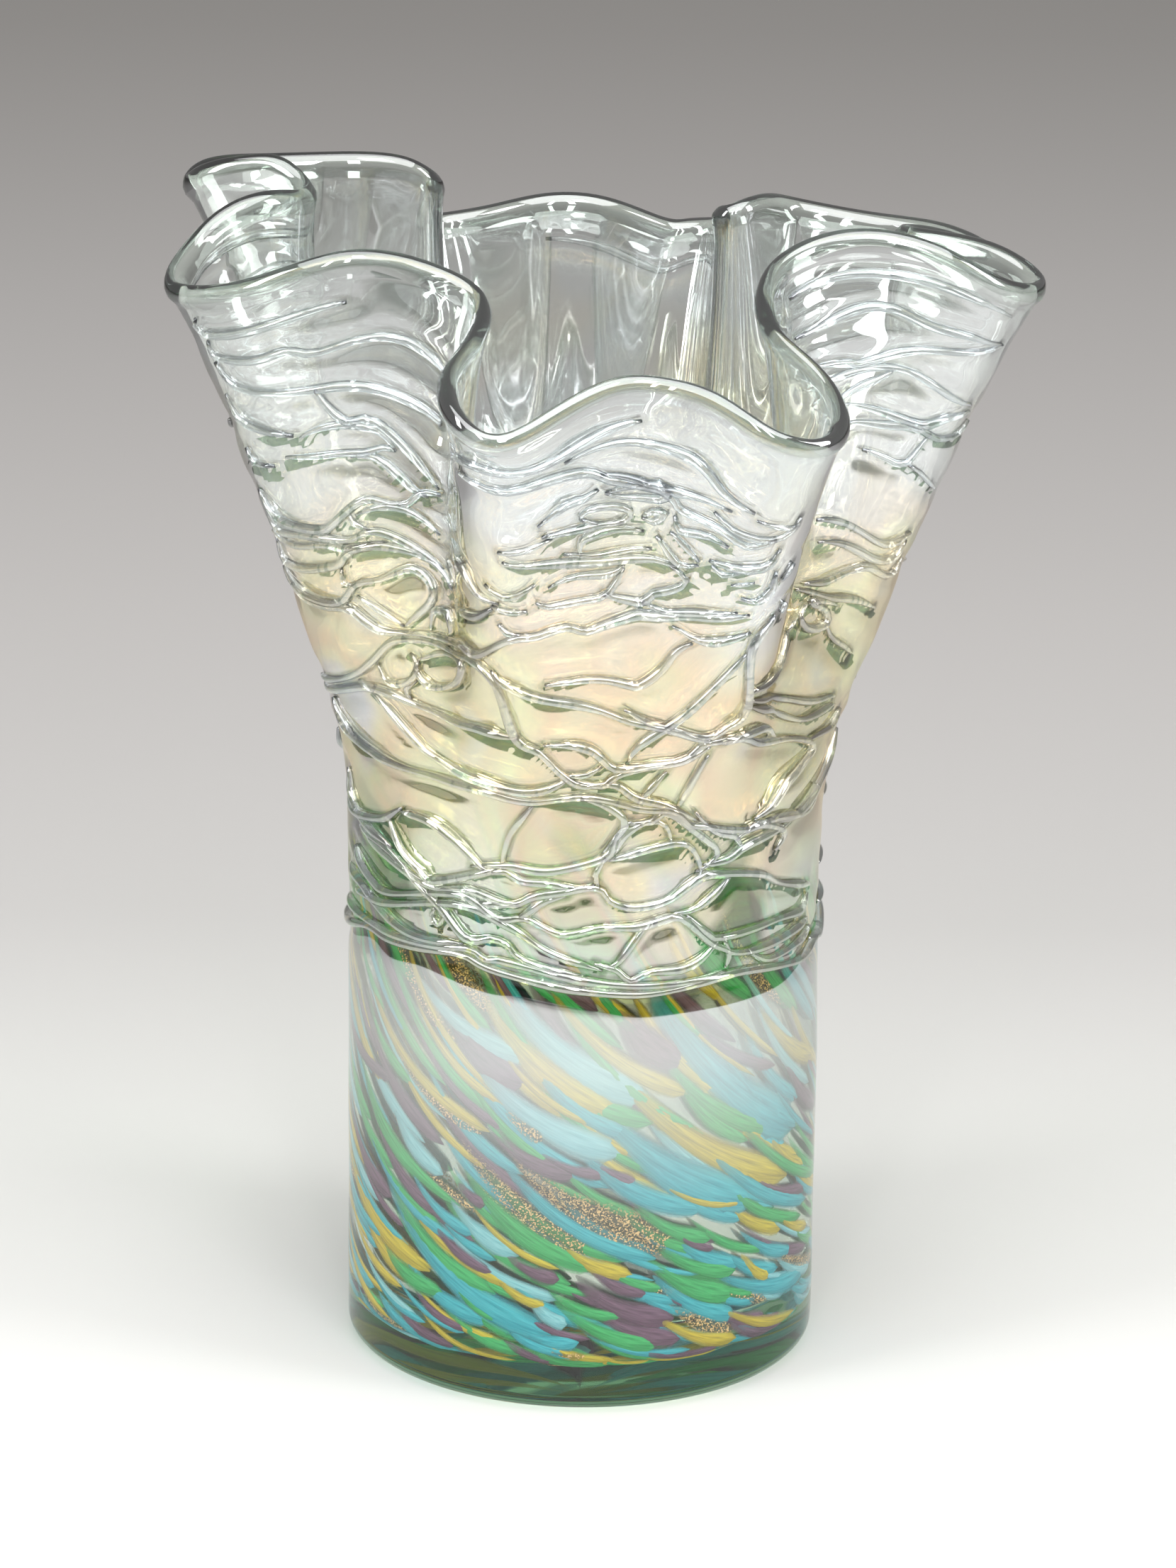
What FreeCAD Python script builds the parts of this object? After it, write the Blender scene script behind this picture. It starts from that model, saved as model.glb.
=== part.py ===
"""Hand blown art glass vase: a ruffled six-lobed bubble, cased over coloured chips and wound with trails.

Millimetres, +Z up, origin at the centre of the foot's resting plane, front of the vase towards -Y.
"""
import FreeCAD, Part
import math
import os

V = FreeCAD.Vector
AXIS = V(0, 0, 1)

# Driving dimensions
BODY_R = 64.0             # outside radius of the cylindrical body
CASING_T = 3.0            # casing gathered over the coloured chips
CORE_R = BODY_R - CASING_T
BORE_R = 58.0             # inside radius of the body
CASING_TOP = 112.0        # where the casing runs out under the lowest trail
FOOT_T = 12.0             # clear glass under the coloured layer
FLOOR_Z = 18.0            # inside floor
CORE_CORNER_R = 6.0
BORE_CORNER_R = 8.0
FOOT_CORNER_R = 5.0
CORNER_STEPS = 4
BODY_STEPS = (96.0, 72.0, 48.0, 32.0)

NUDGE = 0.1               # share of a station's spacing that finds the wall's direction
SPRING = 138.0            # height where the cylinder starts to open out
LIP = 300.0               # height on the wall of the rim line, as blown before ruffling
WALL_T = 3.6              # wall at the lip
BODY_WALL_T = BODY_R - BORE_R
THINNING_TOP = 170.0      # the wall has thinned to WALL_T from here up
FLARE_START = 0.32        # share of the rise over which the flare bends outward
FOLD_START = 0.16         # share of the rise below which the ruffles have died out
FOLD_POWER = 1.2
TURN_OUT = 0.16           # share of each lobe's reach gained in the last turn of the lip
TURN_OUT_POWER = 8
AZIMUTH_PASSES = 40       # smoothing that takes the lobes out of the wall's base line
POLE_PASSES = 24          # rounds that bring a spline's poles to where it passes through its stations
NECK_HEIGHTS = (
    CASING_TOP, 116, 122, 130, 138, 148, 160, 172, 186, 200, 215, 230, 245, 260, 272, 282, 289, 294)
BEAD = ((296.5, -0.5), (299, -0.9), (301.6, 0.0), (302.6, WALL_T / 2),
        (301.6, WALL_T), (299, WALL_T + 0.9), (296.5, WALL_T + 0.5))    # height and depth round the lip

CHIP_T = 0.8
CHIP_TILT = 55.0          # degrees from level, falling towards the right
CHIP_L = 22.0
CHIP_W = 5.5
CHIP_ROWS = (27.0, 49.0, 71.0, 93.0)
CHIP_COLUMNS = 18
CHIP_COLOURS = ("turquoise", "pale_blue", "yellow", "green", "amethyst", "copper")
CHIP_ROW_SHIFT = 2        # colours stepped along from one row to the next

TRAIL_W = 1.5             # half width of a trail
TRAIL_H = 1.9             # how far a trail stands off the wall
TRAIL_SINK = 0.15         # how far its underside is melted into the wall
TRAIL_END = 0.4           # size of a trail's end against its middle
TRAIL_STEP = 6.0          # distance between cross-sections
TRAIL_ARCH = ((-1, 0.1), (-0.8, 0.8), (0, 1.15), (0.8, 0.8), (1, 0.1))    # poles in half widths and heights
TRAIL_BED = 0.5           # half width of the melted underside, in half widths
BACK_STRETCH = 1.1        # the back's runs reach round to meet the front's

# The rim's outside line as the ruffling left it: x, y, z, lobe by lobe, anticlockwise from the left tip
RIM_LEFT = [
    (-111, -14, 297), (-105, -24, 296), (-92, -35, 300), (-77, -40, 306), (-63, -40, 310), (-50, -37, 309),
    (-38, -36, 305)]
RIM_FRONT = [
    (-30, -43, 300), (-33, -60, 293), (-38, -78, 288), (-34, -93, 281), (-22, -97, 277), (-8, -92, 283),
    (6, -86, 289), (18, -84, 289), (31, -88, 286), (44, -94, 279), (58, -91, 275), (65, -80, 279),
    (60, -64, 287), (50, -51, 294)]
RIM_RIGHT = [
    (46, -38, 301), (50, -26, 307), (62, -17, 311), (77, -14, 311), (93, -15, 306), (109, -11, 297),
    (119, 4, 294), (110, 18, 299), (96, 28, 301), (85, 36, 301)]
RIM_BACK_RIGHT = [
    (96, 46, 297), (109, 56, 290), (98, 68, 293), (79, 78, 294), (58, 81, 297), (48, 76, 300),
    (42, 69, 301), (37, 67, 299), (38, 76, 295), (38, 86, 291)]
RIM_BACK = [
    (34, 93, 289), (26, 96, 288), (18, 95, 289), (3, 92, 295), (-13, 91, 296), (-27, 94, 292),
    (-41, 95, 289), (-48, 86, 292), (-45, 70, 305)]
RIM_BACK_LEFT = [
    (-53, 66, 312), (-71, 64, 313), (-90, 64, 312), (-105, 58, 311), (-110, 50, 308), (-105, 42, 313),
    (-93, 38, 317), (-83, 34, 317), (-78, 26, 312), (-86, 16, 313), (-97, 10, 310), (-106, 2, 303)]
RIM = RIM_LEFT + RIM_FRONT + RIM_RIGHT + RIM_BACK_RIGHT + RIM_BACK + RIM_BACK_LEFT
COUNT = len(RIM)

# Routes of the trails across the front: azimuth in degrees, height on the wall
COLLAR_TRAILS = [
    [(184, 119), (206, 125), (238, 127), (250, 124), (283, 119), (309, 121), (334, 117), (345, 120)],
    [(183, 126), (223, 127), (241, 129), (246, 127), (252, 127), (278, 122), (298, 121), (306, 122)],
    [(195, 132), (208, 133), (224, 129), (240, 130)],
    [(186, 136), (201, 136), (212, 134), (238, 141), (252, 137), (262, 131), (274, 126)],
    [(194, 144), (208, 139), (216, 138), (239, 144), (250, 139), (256, 140), (264, 136), (291, 140),
     (295, 138), (304, 129), (313, 126), (340, 127)],
    [(200, 152), (220, 147), (232, 140), (241, 132), (248, 133), (252, 132), (256, 128), (271, 124)],
    [(216, 158), (220, 151), (232, 146), (252, 155)],
    [(202, 152), (232, 144), (241, 146), (252, 144), (260, 148), (272, 150), (280, 144), (286, 144),
     (291, 146), (298, 152), (304, 152), (317, 147), (324, 142), (342, 136)],
    [(221, 161), (230, 162), (238, 159), (246, 153), (252, 154), (255, 152), (268, 150), (272, 151)],
    [(242, 153), (252, 156), (263, 156), (274, 159), (280, 170)],
    [(295, 140), (300, 134), (304, 132), (335, 131), (340, 134)],
]
WAIST_TRAILS = [
    [(194, 187), (196, 183), (202, 178), (210, 174), (222, 173), (250, 178), (266, 179), (282, 174),
     (290, 174), (294, 170), (312, 163), (321, 162), (334, 158), (344, 161)],
    [(212, 190), (226, 182), (232, 180), (247, 180), (264, 184), (266, 186)],
    [(190, 192), (206, 194), (213, 198), (220, 205), (247, 218), (252, 217), (256, 200), (260, 196),
     (269, 182), (276, 181), (282, 177), (290, 175), (296, 171)],
    [(190, 189), (232, 192), (256, 200)],
    [(252, 220), (262, 214), (273, 204), (280, 200), (298, 198)],
    [(278, 204), (284, 200), (294, 200), (298, 204), (302, 210), (300, 231), (303, 241)],
    [(299, 230), (290, 205), (281, 193), (279, 188)],
    [(262, 198), (266, 196), (275, 187), (278, 186), (290, 190), (295, 198), (302, 199), (312, 190),
     (336, 175), (333, 172), (324, 170), (318, 166), (314, 165)],
    [(302, 212), (332, 188), (349, 184)],
    [(302, 210), (318, 194), (333, 183), (349, 182)],
    [(359, 175), (351, 165), (340, 161), (330, 159), (320, 161)],
]
MIDDLE_TRAILS = [
    [(192, 219), (208, 212), (213, 208), (218, 207), (233, 213), (249, 222), (257, 234), (262, 235),
     (266, 234), (270, 230), (275, 231), (285, 234), (298, 243)],
    [(226, 203), (234, 210), (242, 213), (240, 207), (234, 200), (229, 198), (226, 200), (226, 203)],
    [(214, 198), (217, 194), (222, 195), (225, 198), (226, 202), (224, 204)],
    [(262, 218), (277, 212), (280, 212), (289, 228)],
]
UPPER_TRAILS = [
    [(192, 246), (194, 242), (196, 238), (204, 234), (214, 240), (220, 240), (230, 248)],
    [(192, 240), (194, 235), (210, 230), (215, 232), (221, 232), (232, 230)],
    [(192, 234), (208, 228), (218, 230)],
    [(192, 232), (192, 227), (196, 225), (207, 224), (210, 227), (224, 230), (230, 230), (235, 228)],
    [(190, 223), (198, 217), (206, 214), (224, 226), (229, 224), (228, 219), (222, 210)],
    [(250, 281), (255, 284), (262, 284), (270, 279), (274, 273), (282, 271), (292, 273)],
    [(269, 265), (270, 267), (276, 264), (276, 261), (272, 261), (269, 265)],
    [(272, 270), (275, 268), (281, 268), (282, 270), (280, 272), (272, 270)],
    [(272, 276), (282, 270), (284, 266), (294, 265), (298, 269)],
    [(257, 260), (262, 258), (272, 250), (284, 249)],
    [(262, 246), (264, 243), (272, 239), (274, 242), (276, 247)],
    [(272, 240), (280, 237), (286, 246), (284, 249)],
    [(234, 240), (246, 246), (250, 243), (256, 245)],
    [(336, 233), (350, 226), (358, 232)],
    [(336, 227), (348, 222), (352, 222), (356, 225), (358, 230)],
    [(332, 219), (338, 216), (354, 219), (358, 221), (358, 225)],
    [(329, 220), (338, 212), (346, 210), (356, 210)],
    [(334, 213), (330, 212), (332, 208), (336, 205), (339, 205), (339, 208), (334, 213), (344, 208)],
]
LIP_TRAILS = [
    [(194, 294), (194, 290), (213, 290)],
    [(194, 288), (194, 284), (204, 282), (209, 279), (220, 282), (224, 281), (229, 278)],
    [(194, 282), (196, 277), (198, 274), (208, 270), (226, 267), (228, 265)],
    [(208, 270), (212, 260), (217, 260), (229, 249)],
    [(201, 255), (214, 252), (220, 254)],
    [(249, 284), (253, 289), (258, 291), (264, 288), (278, 290)],
    [(267, 285), (282, 283), (290, 277), (294, 276)],
    [(332, 282), (336, 281), (344, 284), (350, 283), (356, 286), (360, 286)],
    [(334, 272), (340, 270), (344, 271), (360, 286)],
    [(335, 270), (338, 267), (349, 270), (359, 269)],
    [(340, 260), (347, 258), (352, 259), (360, 267)],
    [(340, 255), (347, 255), (352, 258), (356, 258), (360, 261), (361, 264)],
    [(332, 292), (344, 292), (355, 295), (358, 294)],
]
TRAILS = {
    "collar": COLLAR_TRAILS,
    "waist": WAIST_TRAILS,
    "middle": MIDDLE_TRAILS,
    "upper": UPPER_TRAILS,
    "lip": LIP_TRAILS}


def relax(values, passes):
    """A closed run of values with its short waves smoothed away."""
    for _ in range(passes):
        values = [(values[i - 1] + 2 * values[i] + values[(i + 1) % COUNT]) / 4 for i in range(COUNT)]
    return values


def sharpen(points):
    """Poles whose closed uniform cubic spline passes through the points."""
    poles = list(points)
    for _ in range(POLE_PASSES):
        poles = [(points[i] * 6 - poles[i - 1] - poles[(i + 1) % COUNT]) * 0.25 for i in range(COUNT)]
    return poles


def rim_azimuths():
    """Azimuth of each rim station, unwrapped, in radians."""
    angles = [math.atan2(RIM[0][1], RIM[0][0])]
    for x, y, _ in RIM[1:]:
        turn = math.atan2(y, x) - angles[-1]
        angles.append(angles[-1] + (turn + math.pi) % (2 * math.pi) - math.pi)
    return angles


def base_azimuths():
    """Azimuth on the cylinder that each rim station springs from."""
    even = [2 * math.pi * i / COUNT for i in range(COUNT)]
    lean = relax([a - e for a, e in zip(rim_azimuths(), even)], AZIMUTH_PASSES)
    return [e + a for e, a in zip(even, lean)]


BASE = base_azimuths()
RADIAL = [V(math.cos(a), math.sin(a), 0) for a in BASE]
CONE_R = relax([math.hypot(x, y) for x, y, _ in RIM], AZIMUTH_PASSES)
CONE = [e * (r - BODY_R) for e, r in zip(RADIAL, CONE_R)]
LOBE = [V(x, y, 0) - e * r for (x, y, _), e, r in zip(RIM, RADIAL, CONE_R)]
RISE = [AXIS * (z - SPRING) for _, _, z in RIM]


def flare(t):
    bend = t * t / (2 * FLARE_START) if t < FLARE_START else t - FLARE_START / 2
    return bend / (1 - FLARE_START / 2)


def ruffle(t):
    fold = max(0.0, (t - FOLD_START) / (1 - FOLD_START)) ** FOLD_POWER
    return (1 - TURN_OUT) * fold + TURN_OUT * t ** TURN_OUT_POWER


def ring(height):
    """Stations of the outside wall at one height on the wall."""
    t = (height - SPRING) / (LIP - SPRING)
    if t <= 0:
        return [e * BODY_R + AXIS * height for e in RADIAL]
    f, w = flare(t), ruffle(t)
    base = AXIS * SPRING
    return [RADIAL[i] * BODY_R + CONE[i] * f + LOBE[i] * w + RISE[i] * t + base for i in range(COUNT)]


def normals(height):
    """Outward unit normals at the stations of a ring."""
    here, above = ring(height), ring(height + 1)
    across = [here[(i + 1) % COUNT] - here[i - 1] for i in range(COUNT)]
    return [a.cross(up - low).normalize() for a, low, up in zip(across, here, above)]


def spline_at(poles, place):
    """Point of a closed uniform cubic at a place counted in stations."""
    i, f = int(math.floor(place)), place - math.floor(place)
    weights = ((1 - f) ** 3, 3 * f ** 3 - 6 * f * f + 4, -3 * f ** 3 + 3 * f * f + 3 * f + 1, f ** 3)
    total = V()
    for k, weight in enumerate(weights):
        total += poles[(i + k - 1) % COUNT] * (weight / 6)
    return total


def place_of(azimuth):
    """Place, counted in stations, that springs from an azimuth in degrees."""
    turn = 2 * math.pi
    angle = BASE[0] + (math.radians(azimuth) - BASE[0]) % turn
    line = BASE + [BASE[0] + turn]
    i = max(k for k in range(COUNT) if line[k] <= angle)
    return i + (angle - line[i]) / (line[i + 1] - line[i])


def wall_point(azimuth, height):
    """Point of the outside wall and its outward normal."""
    place = place_of(azimuth)
    here, above = sharpen(ring(height)), sharpen(ring(height + 1))
    point = spline_at(here, place)
    across = spline_at(here, place + NUDGE) - point
    up = spline_at(above, place) - point
    return point, across.cross(up).normalize()


def wall_depth(height):
    """Wall thickness, thinning from the body up to the lip."""
    thick = max(0.0, (THINNING_TOP - height) / (THINNING_TOP - CASING_TOP))
    return WALL_T + (BODY_WALL_T - WALL_T) * thick ** 2


def wall_rows():
    """Height and depth of each ring of the wall's skin: up the outside, over the bead, down the inside."""
    outside = [(h, 0.0) for h in NECK_HEIGHTS]
    inside = [(h, wall_depth(h)) for h in reversed(NECK_HEIGHTS)]
    return outside + list(BEAD) + inside


def wall_stations():
    """Rings of the wall above the casing: up the outside, over the bead, down the inside."""
    return [[p - n * depth for p, n in zip(ring(height), normals(height))] for height, depth in wall_rows()]


def turned_ring(r, z):
    return [e * r + AXIS * z for e in RADIAL]


def corner_rings(r, z, radius):
    """Rings of a quarter round that turns from a level bottom up into a wall."""
    angles = [math.radians(90 * k / CORNER_STEPS) for k in range(CORNER_STEPS + 1)]
    return [turned_ring(r - radius * (1 - math.sin(a)), z + radius * (1 - math.cos(a))) for a in angles]


def skin(rings):
    """One smooth surface through closed rings of stations."""
    poles = [list(column) for column in zip(*[sharpen(stations) for stations in rings])]
    spans = len(rings) - 3
    surface = Part.BSplineSurface()
    surface.buildFromPolesMultsKnots(
        poles, [1] * (COUNT + 1), [4] + [1] * (spans - 1) + [4],
        list(range(COUNT + 1)), list(range(spans + 1)), True, False, 3, 3)
    return surface


def rim_wires(surface):
    """The first and last closed edges of a skin."""
    ends = surface.getVKnot(1), surface.getVKnot(surface.NbVKnots)
    return [Part.Wire(surface.vIso(v).toShape()) for v in ends]


def profile_point(r, z):
    """A point of a turned profile."""
    return V(r, 0, z)


def line(a, b):
    return Part.makeLine(profile_point(*a), profile_point(*b))


def corner(r, z, radius):
    """Quarter round that turns from a level bottom up into a wall, for a corner that would be at r, z."""
    low = profile_point(r - radius, z)
    high = profile_point(r, z + radius)
    reach = radius * math.sin(math.radians(45))
    middle = profile_point(r - radius + reach, z + radius - reach)
    return Part.Arc(low, middle, high).toShape()


def vessel_wall():
    """The inner bubble: body, floor and ruffled neck."""
    bore = [turned_ring(BORE_R, z) for z in BODY_STEPS]
    neck = skin(wall_stations() + bore + corner_rings(BORE_R, FLOOR_Z, BORE_CORNER_R)[::-1])
    core_walls = [turned_ring(CORE_R, z) for z in BODY_STEPS[::-1]]
    core_bottom = corner_rings(CORE_R, FOOT_T, CORE_CORNER_R)
    core = skin(core_bottom + core_walls + [turned_ring(CORE_R, CASING_TOP)])
    shoulder, floor = rim_wires(neck)
    bottom, top = rim_wires(core)
    flats = [Part.Face([shoulder, top]), Part.Face(floor), Part.Face(bottom)]
    return closed_solid([neck.toShape(), core.toShape()] + flats)


def closed_solid(faces):
    shell = Part.makeShell(faces)
    shell.sewShape()
    solid = Part.makeSolid(shell.Shells[0])
    if solid.Volume < 0:
        solid.reverse()
    return solid


def casing_blank():
    """The outer gather before the chips are let into it: sleeve and thick foot."""
    section = Part.Wire([
        line((0, FOOT_T), (CORE_R - CORE_CORNER_R, FOOT_T)),
        corner(CORE_R, FOOT_T, CORE_CORNER_R),
        line((CORE_R, FOOT_T + CORE_CORNER_R), (CORE_R, CASING_TOP)),
        line((CORE_R, CASING_TOP), (BODY_R, CASING_TOP)),
        line((BODY_R, CASING_TOP), (BODY_R, FOOT_CORNER_R)),
        corner(BODY_R, 0, FOOT_CORNER_R),
        line((BODY_R - FOOT_CORNER_R, 0), (0, 0)),
        line((0, 0), (0, FOOT_T))])
    return Part.Face(section).revolve(V(), AXIS, 360)


def chip_blank(azimuth, height):
    """A round-ended bar through the casing, tilted, for one chip."""
    half, end = CHIP_L / 2 - CHIP_W / 2, CHIP_W / 2
    corners = [V(0, -half, -end), V(0, half, -end), V(0, half + end, 0),
               V(0, half, end), V(0, -half, end), V(0, -half - end, 0)]
    outline = Part.Wire([
        Part.makeLine(corners[0], corners[1]),
        Part.Arc(corners[1], corners[2], corners[3]).toShape(),
        Part.makeLine(corners[3], corners[4]),
        Part.Arc(corners[4], corners[5], corners[0]).toShape()])
    bar = Part.Face(outline).extrude(V(BODY_R * 2, 0, 0))
    bar.rotate(V(), V(1, 0, 0), -CHIP_TILT)
    bar.translate(V(0, 0, height))
    bar.rotate(V(), AXIS, azimuth)
    return bar


def chip_blanks():
    """Chip bars by colour, in staggered rows round the body."""
    blanks = {colour: [] for colour in CHIP_COLOURS}
    pitch = 360 / CHIP_COLUMNS
    for row, height in enumerate(CHIP_ROWS):
        for column in range(CHIP_COLUMNS):
            colour = CHIP_COLOURS[(column + row * CHIP_ROW_SHIFT) % len(CHIP_COLOURS)]
            blanks[colour].append(chip_blank((column + row / 2) * pitch, height))
    return blanks


def chip_layer():
    """The thin layer between core and casing that the chips fill."""
    outer = Part.makeCylinder(CORE_R + CHIP_T, CASING_TOP - FLOOR_Z, V(0, 0, FLOOR_Z))
    return outer.cut(Part.makeCylinder(CORE_R, CASING_TOP - FLOOR_Z, V(0, 0, FLOOR_Z)))


def route(stops):
    """Evenly spaced azimuths and heights along a smooth line through a trail's stops."""
    curve = Part.BSplineCurve()
    curve.interpolate([V(math.radians(a) * BODY_R, h, 0) for a, h in stops])
    pieces = max(3, int(round(curve.length() / TRAIL_STEP)))
    points = curve.discretize(Number=pieces + 1)
    return [(math.degrees(p.x / BODY_R), p.y) for p in points]


def trail(stops):
    """A half-round glass trail laid along the wall, with drawn-down ends."""
    places = [wall_point(*place) for place in route(stops)]
    points = [point for point, _ in places]
    last = len(points) - 1
    rows = []
    for i, (point, out) in enumerate(places):
        along = (points[min(i + 1, last)] - points[max(i - 1, 0)]).normalize()
        side = along.cross(out).normalize()
        size = TRAIL_END if i in (0, last) else 1.0
        across, up = side * (TRAIL_W * size), out * (TRAIL_H * size)
        arch = [point + across * x + up * y for x, y in TRAIL_ARCH]
        bed = point - out * TRAIL_SINK
        rows.append(arch + [bed + across * TRAIL_BED, bed - across * TRAIL_BED])
    return tube(rows)


def tube(rows):
    """A closed solid through rings of poles, capped flat."""
    around, spans = len(rows[0]), len(rows) - 3
    surface = Part.BSplineSurface()
    surface.buildFromPolesMultsKnots(
        rows, [4] + [1] * (spans - 1) + [4], [1] * (around + 1),
        list(range(spans + 1)), list(range(around + 1)), False, True, 3, 3)
    ends = [Part.Face(Part.Wire(surface.uIso(u).toShape())) for u in (0, spans)]
    return closed_solid([surface.toShape()] + ends)


def to_back(stops):
    """A front route carried round to the back."""
    return [(90 + (azimuth - 270) * BACK_STRETCH, height) for azimuth, height in stops]


def save(shape, name):
    shape.exportStep("parts/" + name + ".step")


os.makedirs("parts", exist_ok=True)
save(vessel_wall(), "vessel_wall")

layer = chip_layer()
casing = casing_blank()
for colour, bars in chip_blanks().items():
    chips = layer.common(Part.makeCompound(bars))
    casing = casing.cut(chips)
    save(chips, "chips_" + colour)
save(casing, "casing")

for band, routes in TRAILS.items():
    save(Part.makeCompound([trail(stops) for stops in routes]), band + "_trails_front")
    save(Part.makeCompound([trail(to_back(stops)) for stops in routes]), band + "_trails_back")
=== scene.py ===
"""Hand blown art glass vase: the finished glass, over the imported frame.

Everything is worked out in millimetres and scaled to metres as each mesh is made.
"""
import math
import bpy
import numpy as np
from mathutils import Matrix, Vector, kdtree


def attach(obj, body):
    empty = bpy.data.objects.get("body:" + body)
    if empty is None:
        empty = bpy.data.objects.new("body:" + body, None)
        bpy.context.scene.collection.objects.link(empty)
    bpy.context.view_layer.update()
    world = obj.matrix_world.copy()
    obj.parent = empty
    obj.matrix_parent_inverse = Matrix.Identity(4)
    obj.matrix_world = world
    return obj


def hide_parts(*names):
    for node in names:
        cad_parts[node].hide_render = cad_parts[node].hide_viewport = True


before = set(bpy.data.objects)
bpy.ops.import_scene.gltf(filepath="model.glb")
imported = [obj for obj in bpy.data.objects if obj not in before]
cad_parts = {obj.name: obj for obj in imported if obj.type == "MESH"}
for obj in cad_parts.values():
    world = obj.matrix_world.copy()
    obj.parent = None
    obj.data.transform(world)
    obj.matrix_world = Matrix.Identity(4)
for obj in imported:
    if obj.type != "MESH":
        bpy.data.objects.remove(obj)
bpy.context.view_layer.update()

MM = 0.001

# The blown form, as in the solids
BODY_R = 64.0             # outside of the cylindrical body
JOINT_R = 61.0            # where the casing is fused to the bubble inside it
BORE_R = 58.0
FOOT_T = 12.0             # clear glass under the coloured layer
FLOOR_Z = 18.0
FOOT_CORNER_R = 5.0
JOINT_CORNER_R = 6.0
BORE_CORNER_R = 8.0
SPRING = 138.0            # height where the cylinder starts to open out
LIP = 300.0               # height on the wall of the rim line
LIP_TOP = 296.5           # where the plain wall ends and the fire-polished bead begins
WALL_T = 3.6
BODY_WALL_T = 6.0
THINNING_LOW = 112.0
THINNING_TOP = 170.0
FLARE_START = 0.32
FOLD_START = 0.16
FOLD_POWER = 1.2
TURN_OUT = 0.16
TURN_OUT_POWER = 8
AZIMUTH_PASSES = 40
POLE_PASSES = 24
BEAD = ((299.0, -0.9), (300.6, -0.6), (301.8, 0.3), (302.5, 1.1), (302.7, 1.8), (302.5, 2.5),
        (301.8, 3.3), (300.6, 4.2), (299.0, 4.5), (296.5, 4.0))


def rows_of(text):
    """A table of numbers, with a comma between rows."""
    return [tuple(float(word) for word in row.split()) for row in text.split(",")]


# The rim's outside line as the ruffling left it: x, y, z, lobe by lobe, anticlockwise from the left tip
RIM_LEFT = rows_of("""
    -111 -14 297, -105 -24 296, -92 -35 300, -77 -40 306, -63 -40 310, -50 -37 309, -38 -36 305""")
RIM_FRONT = rows_of("""
    -30 -43 300, -33 -60 293, -38 -78 288, -34 -93 281, -22 -97 277, -8 -92 283, 6 -86 289, 18 -84 289,
    31 -88 286, 44 -94 279, 58 -91 275, 65 -80 279, 60 -64 287, 50 -51 294""")
RIM_RIGHT = rows_of("""
    46 -38 301, 50 -26 307, 62 -17 311, 77 -14 311, 93 -15 306, 109 -11 297, 119 4 294, 110 18 299,
    96 28 301, 85 36 301""")
RIM_BACK_RIGHT = rows_of("""
    96 46 297, 109 56 290, 98 68 293, 79 78 294, 58 81 297, 48 76 300, 42 69 301, 37 67 299, 38 76 295,
    38 86 291""")
RIM_BACK = rows_of("""
    34 93 289, 26 96 288, 18 95 289, 3 92 295, -13 91 296, -27 94 292, -41 95 289, -48 86 292, -45 70 305""")
RIM_BACK_LEFT = rows_of("""
    -53 66 312, -71 64 313, -90 64 312, -105 58 311, -110 50 308, -105 42 313, -93 38 317, -83 34 317,
    -78 26 312, -86 16 313, -97 10 310, -106 2 303""")
RIM = RIM_LEFT + RIM_FRONT + RIM_RIGHT + RIM_BACK_RIGHT + RIM_BACK + RIM_BACK_LEFT
COUNT = len(RIM)

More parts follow.
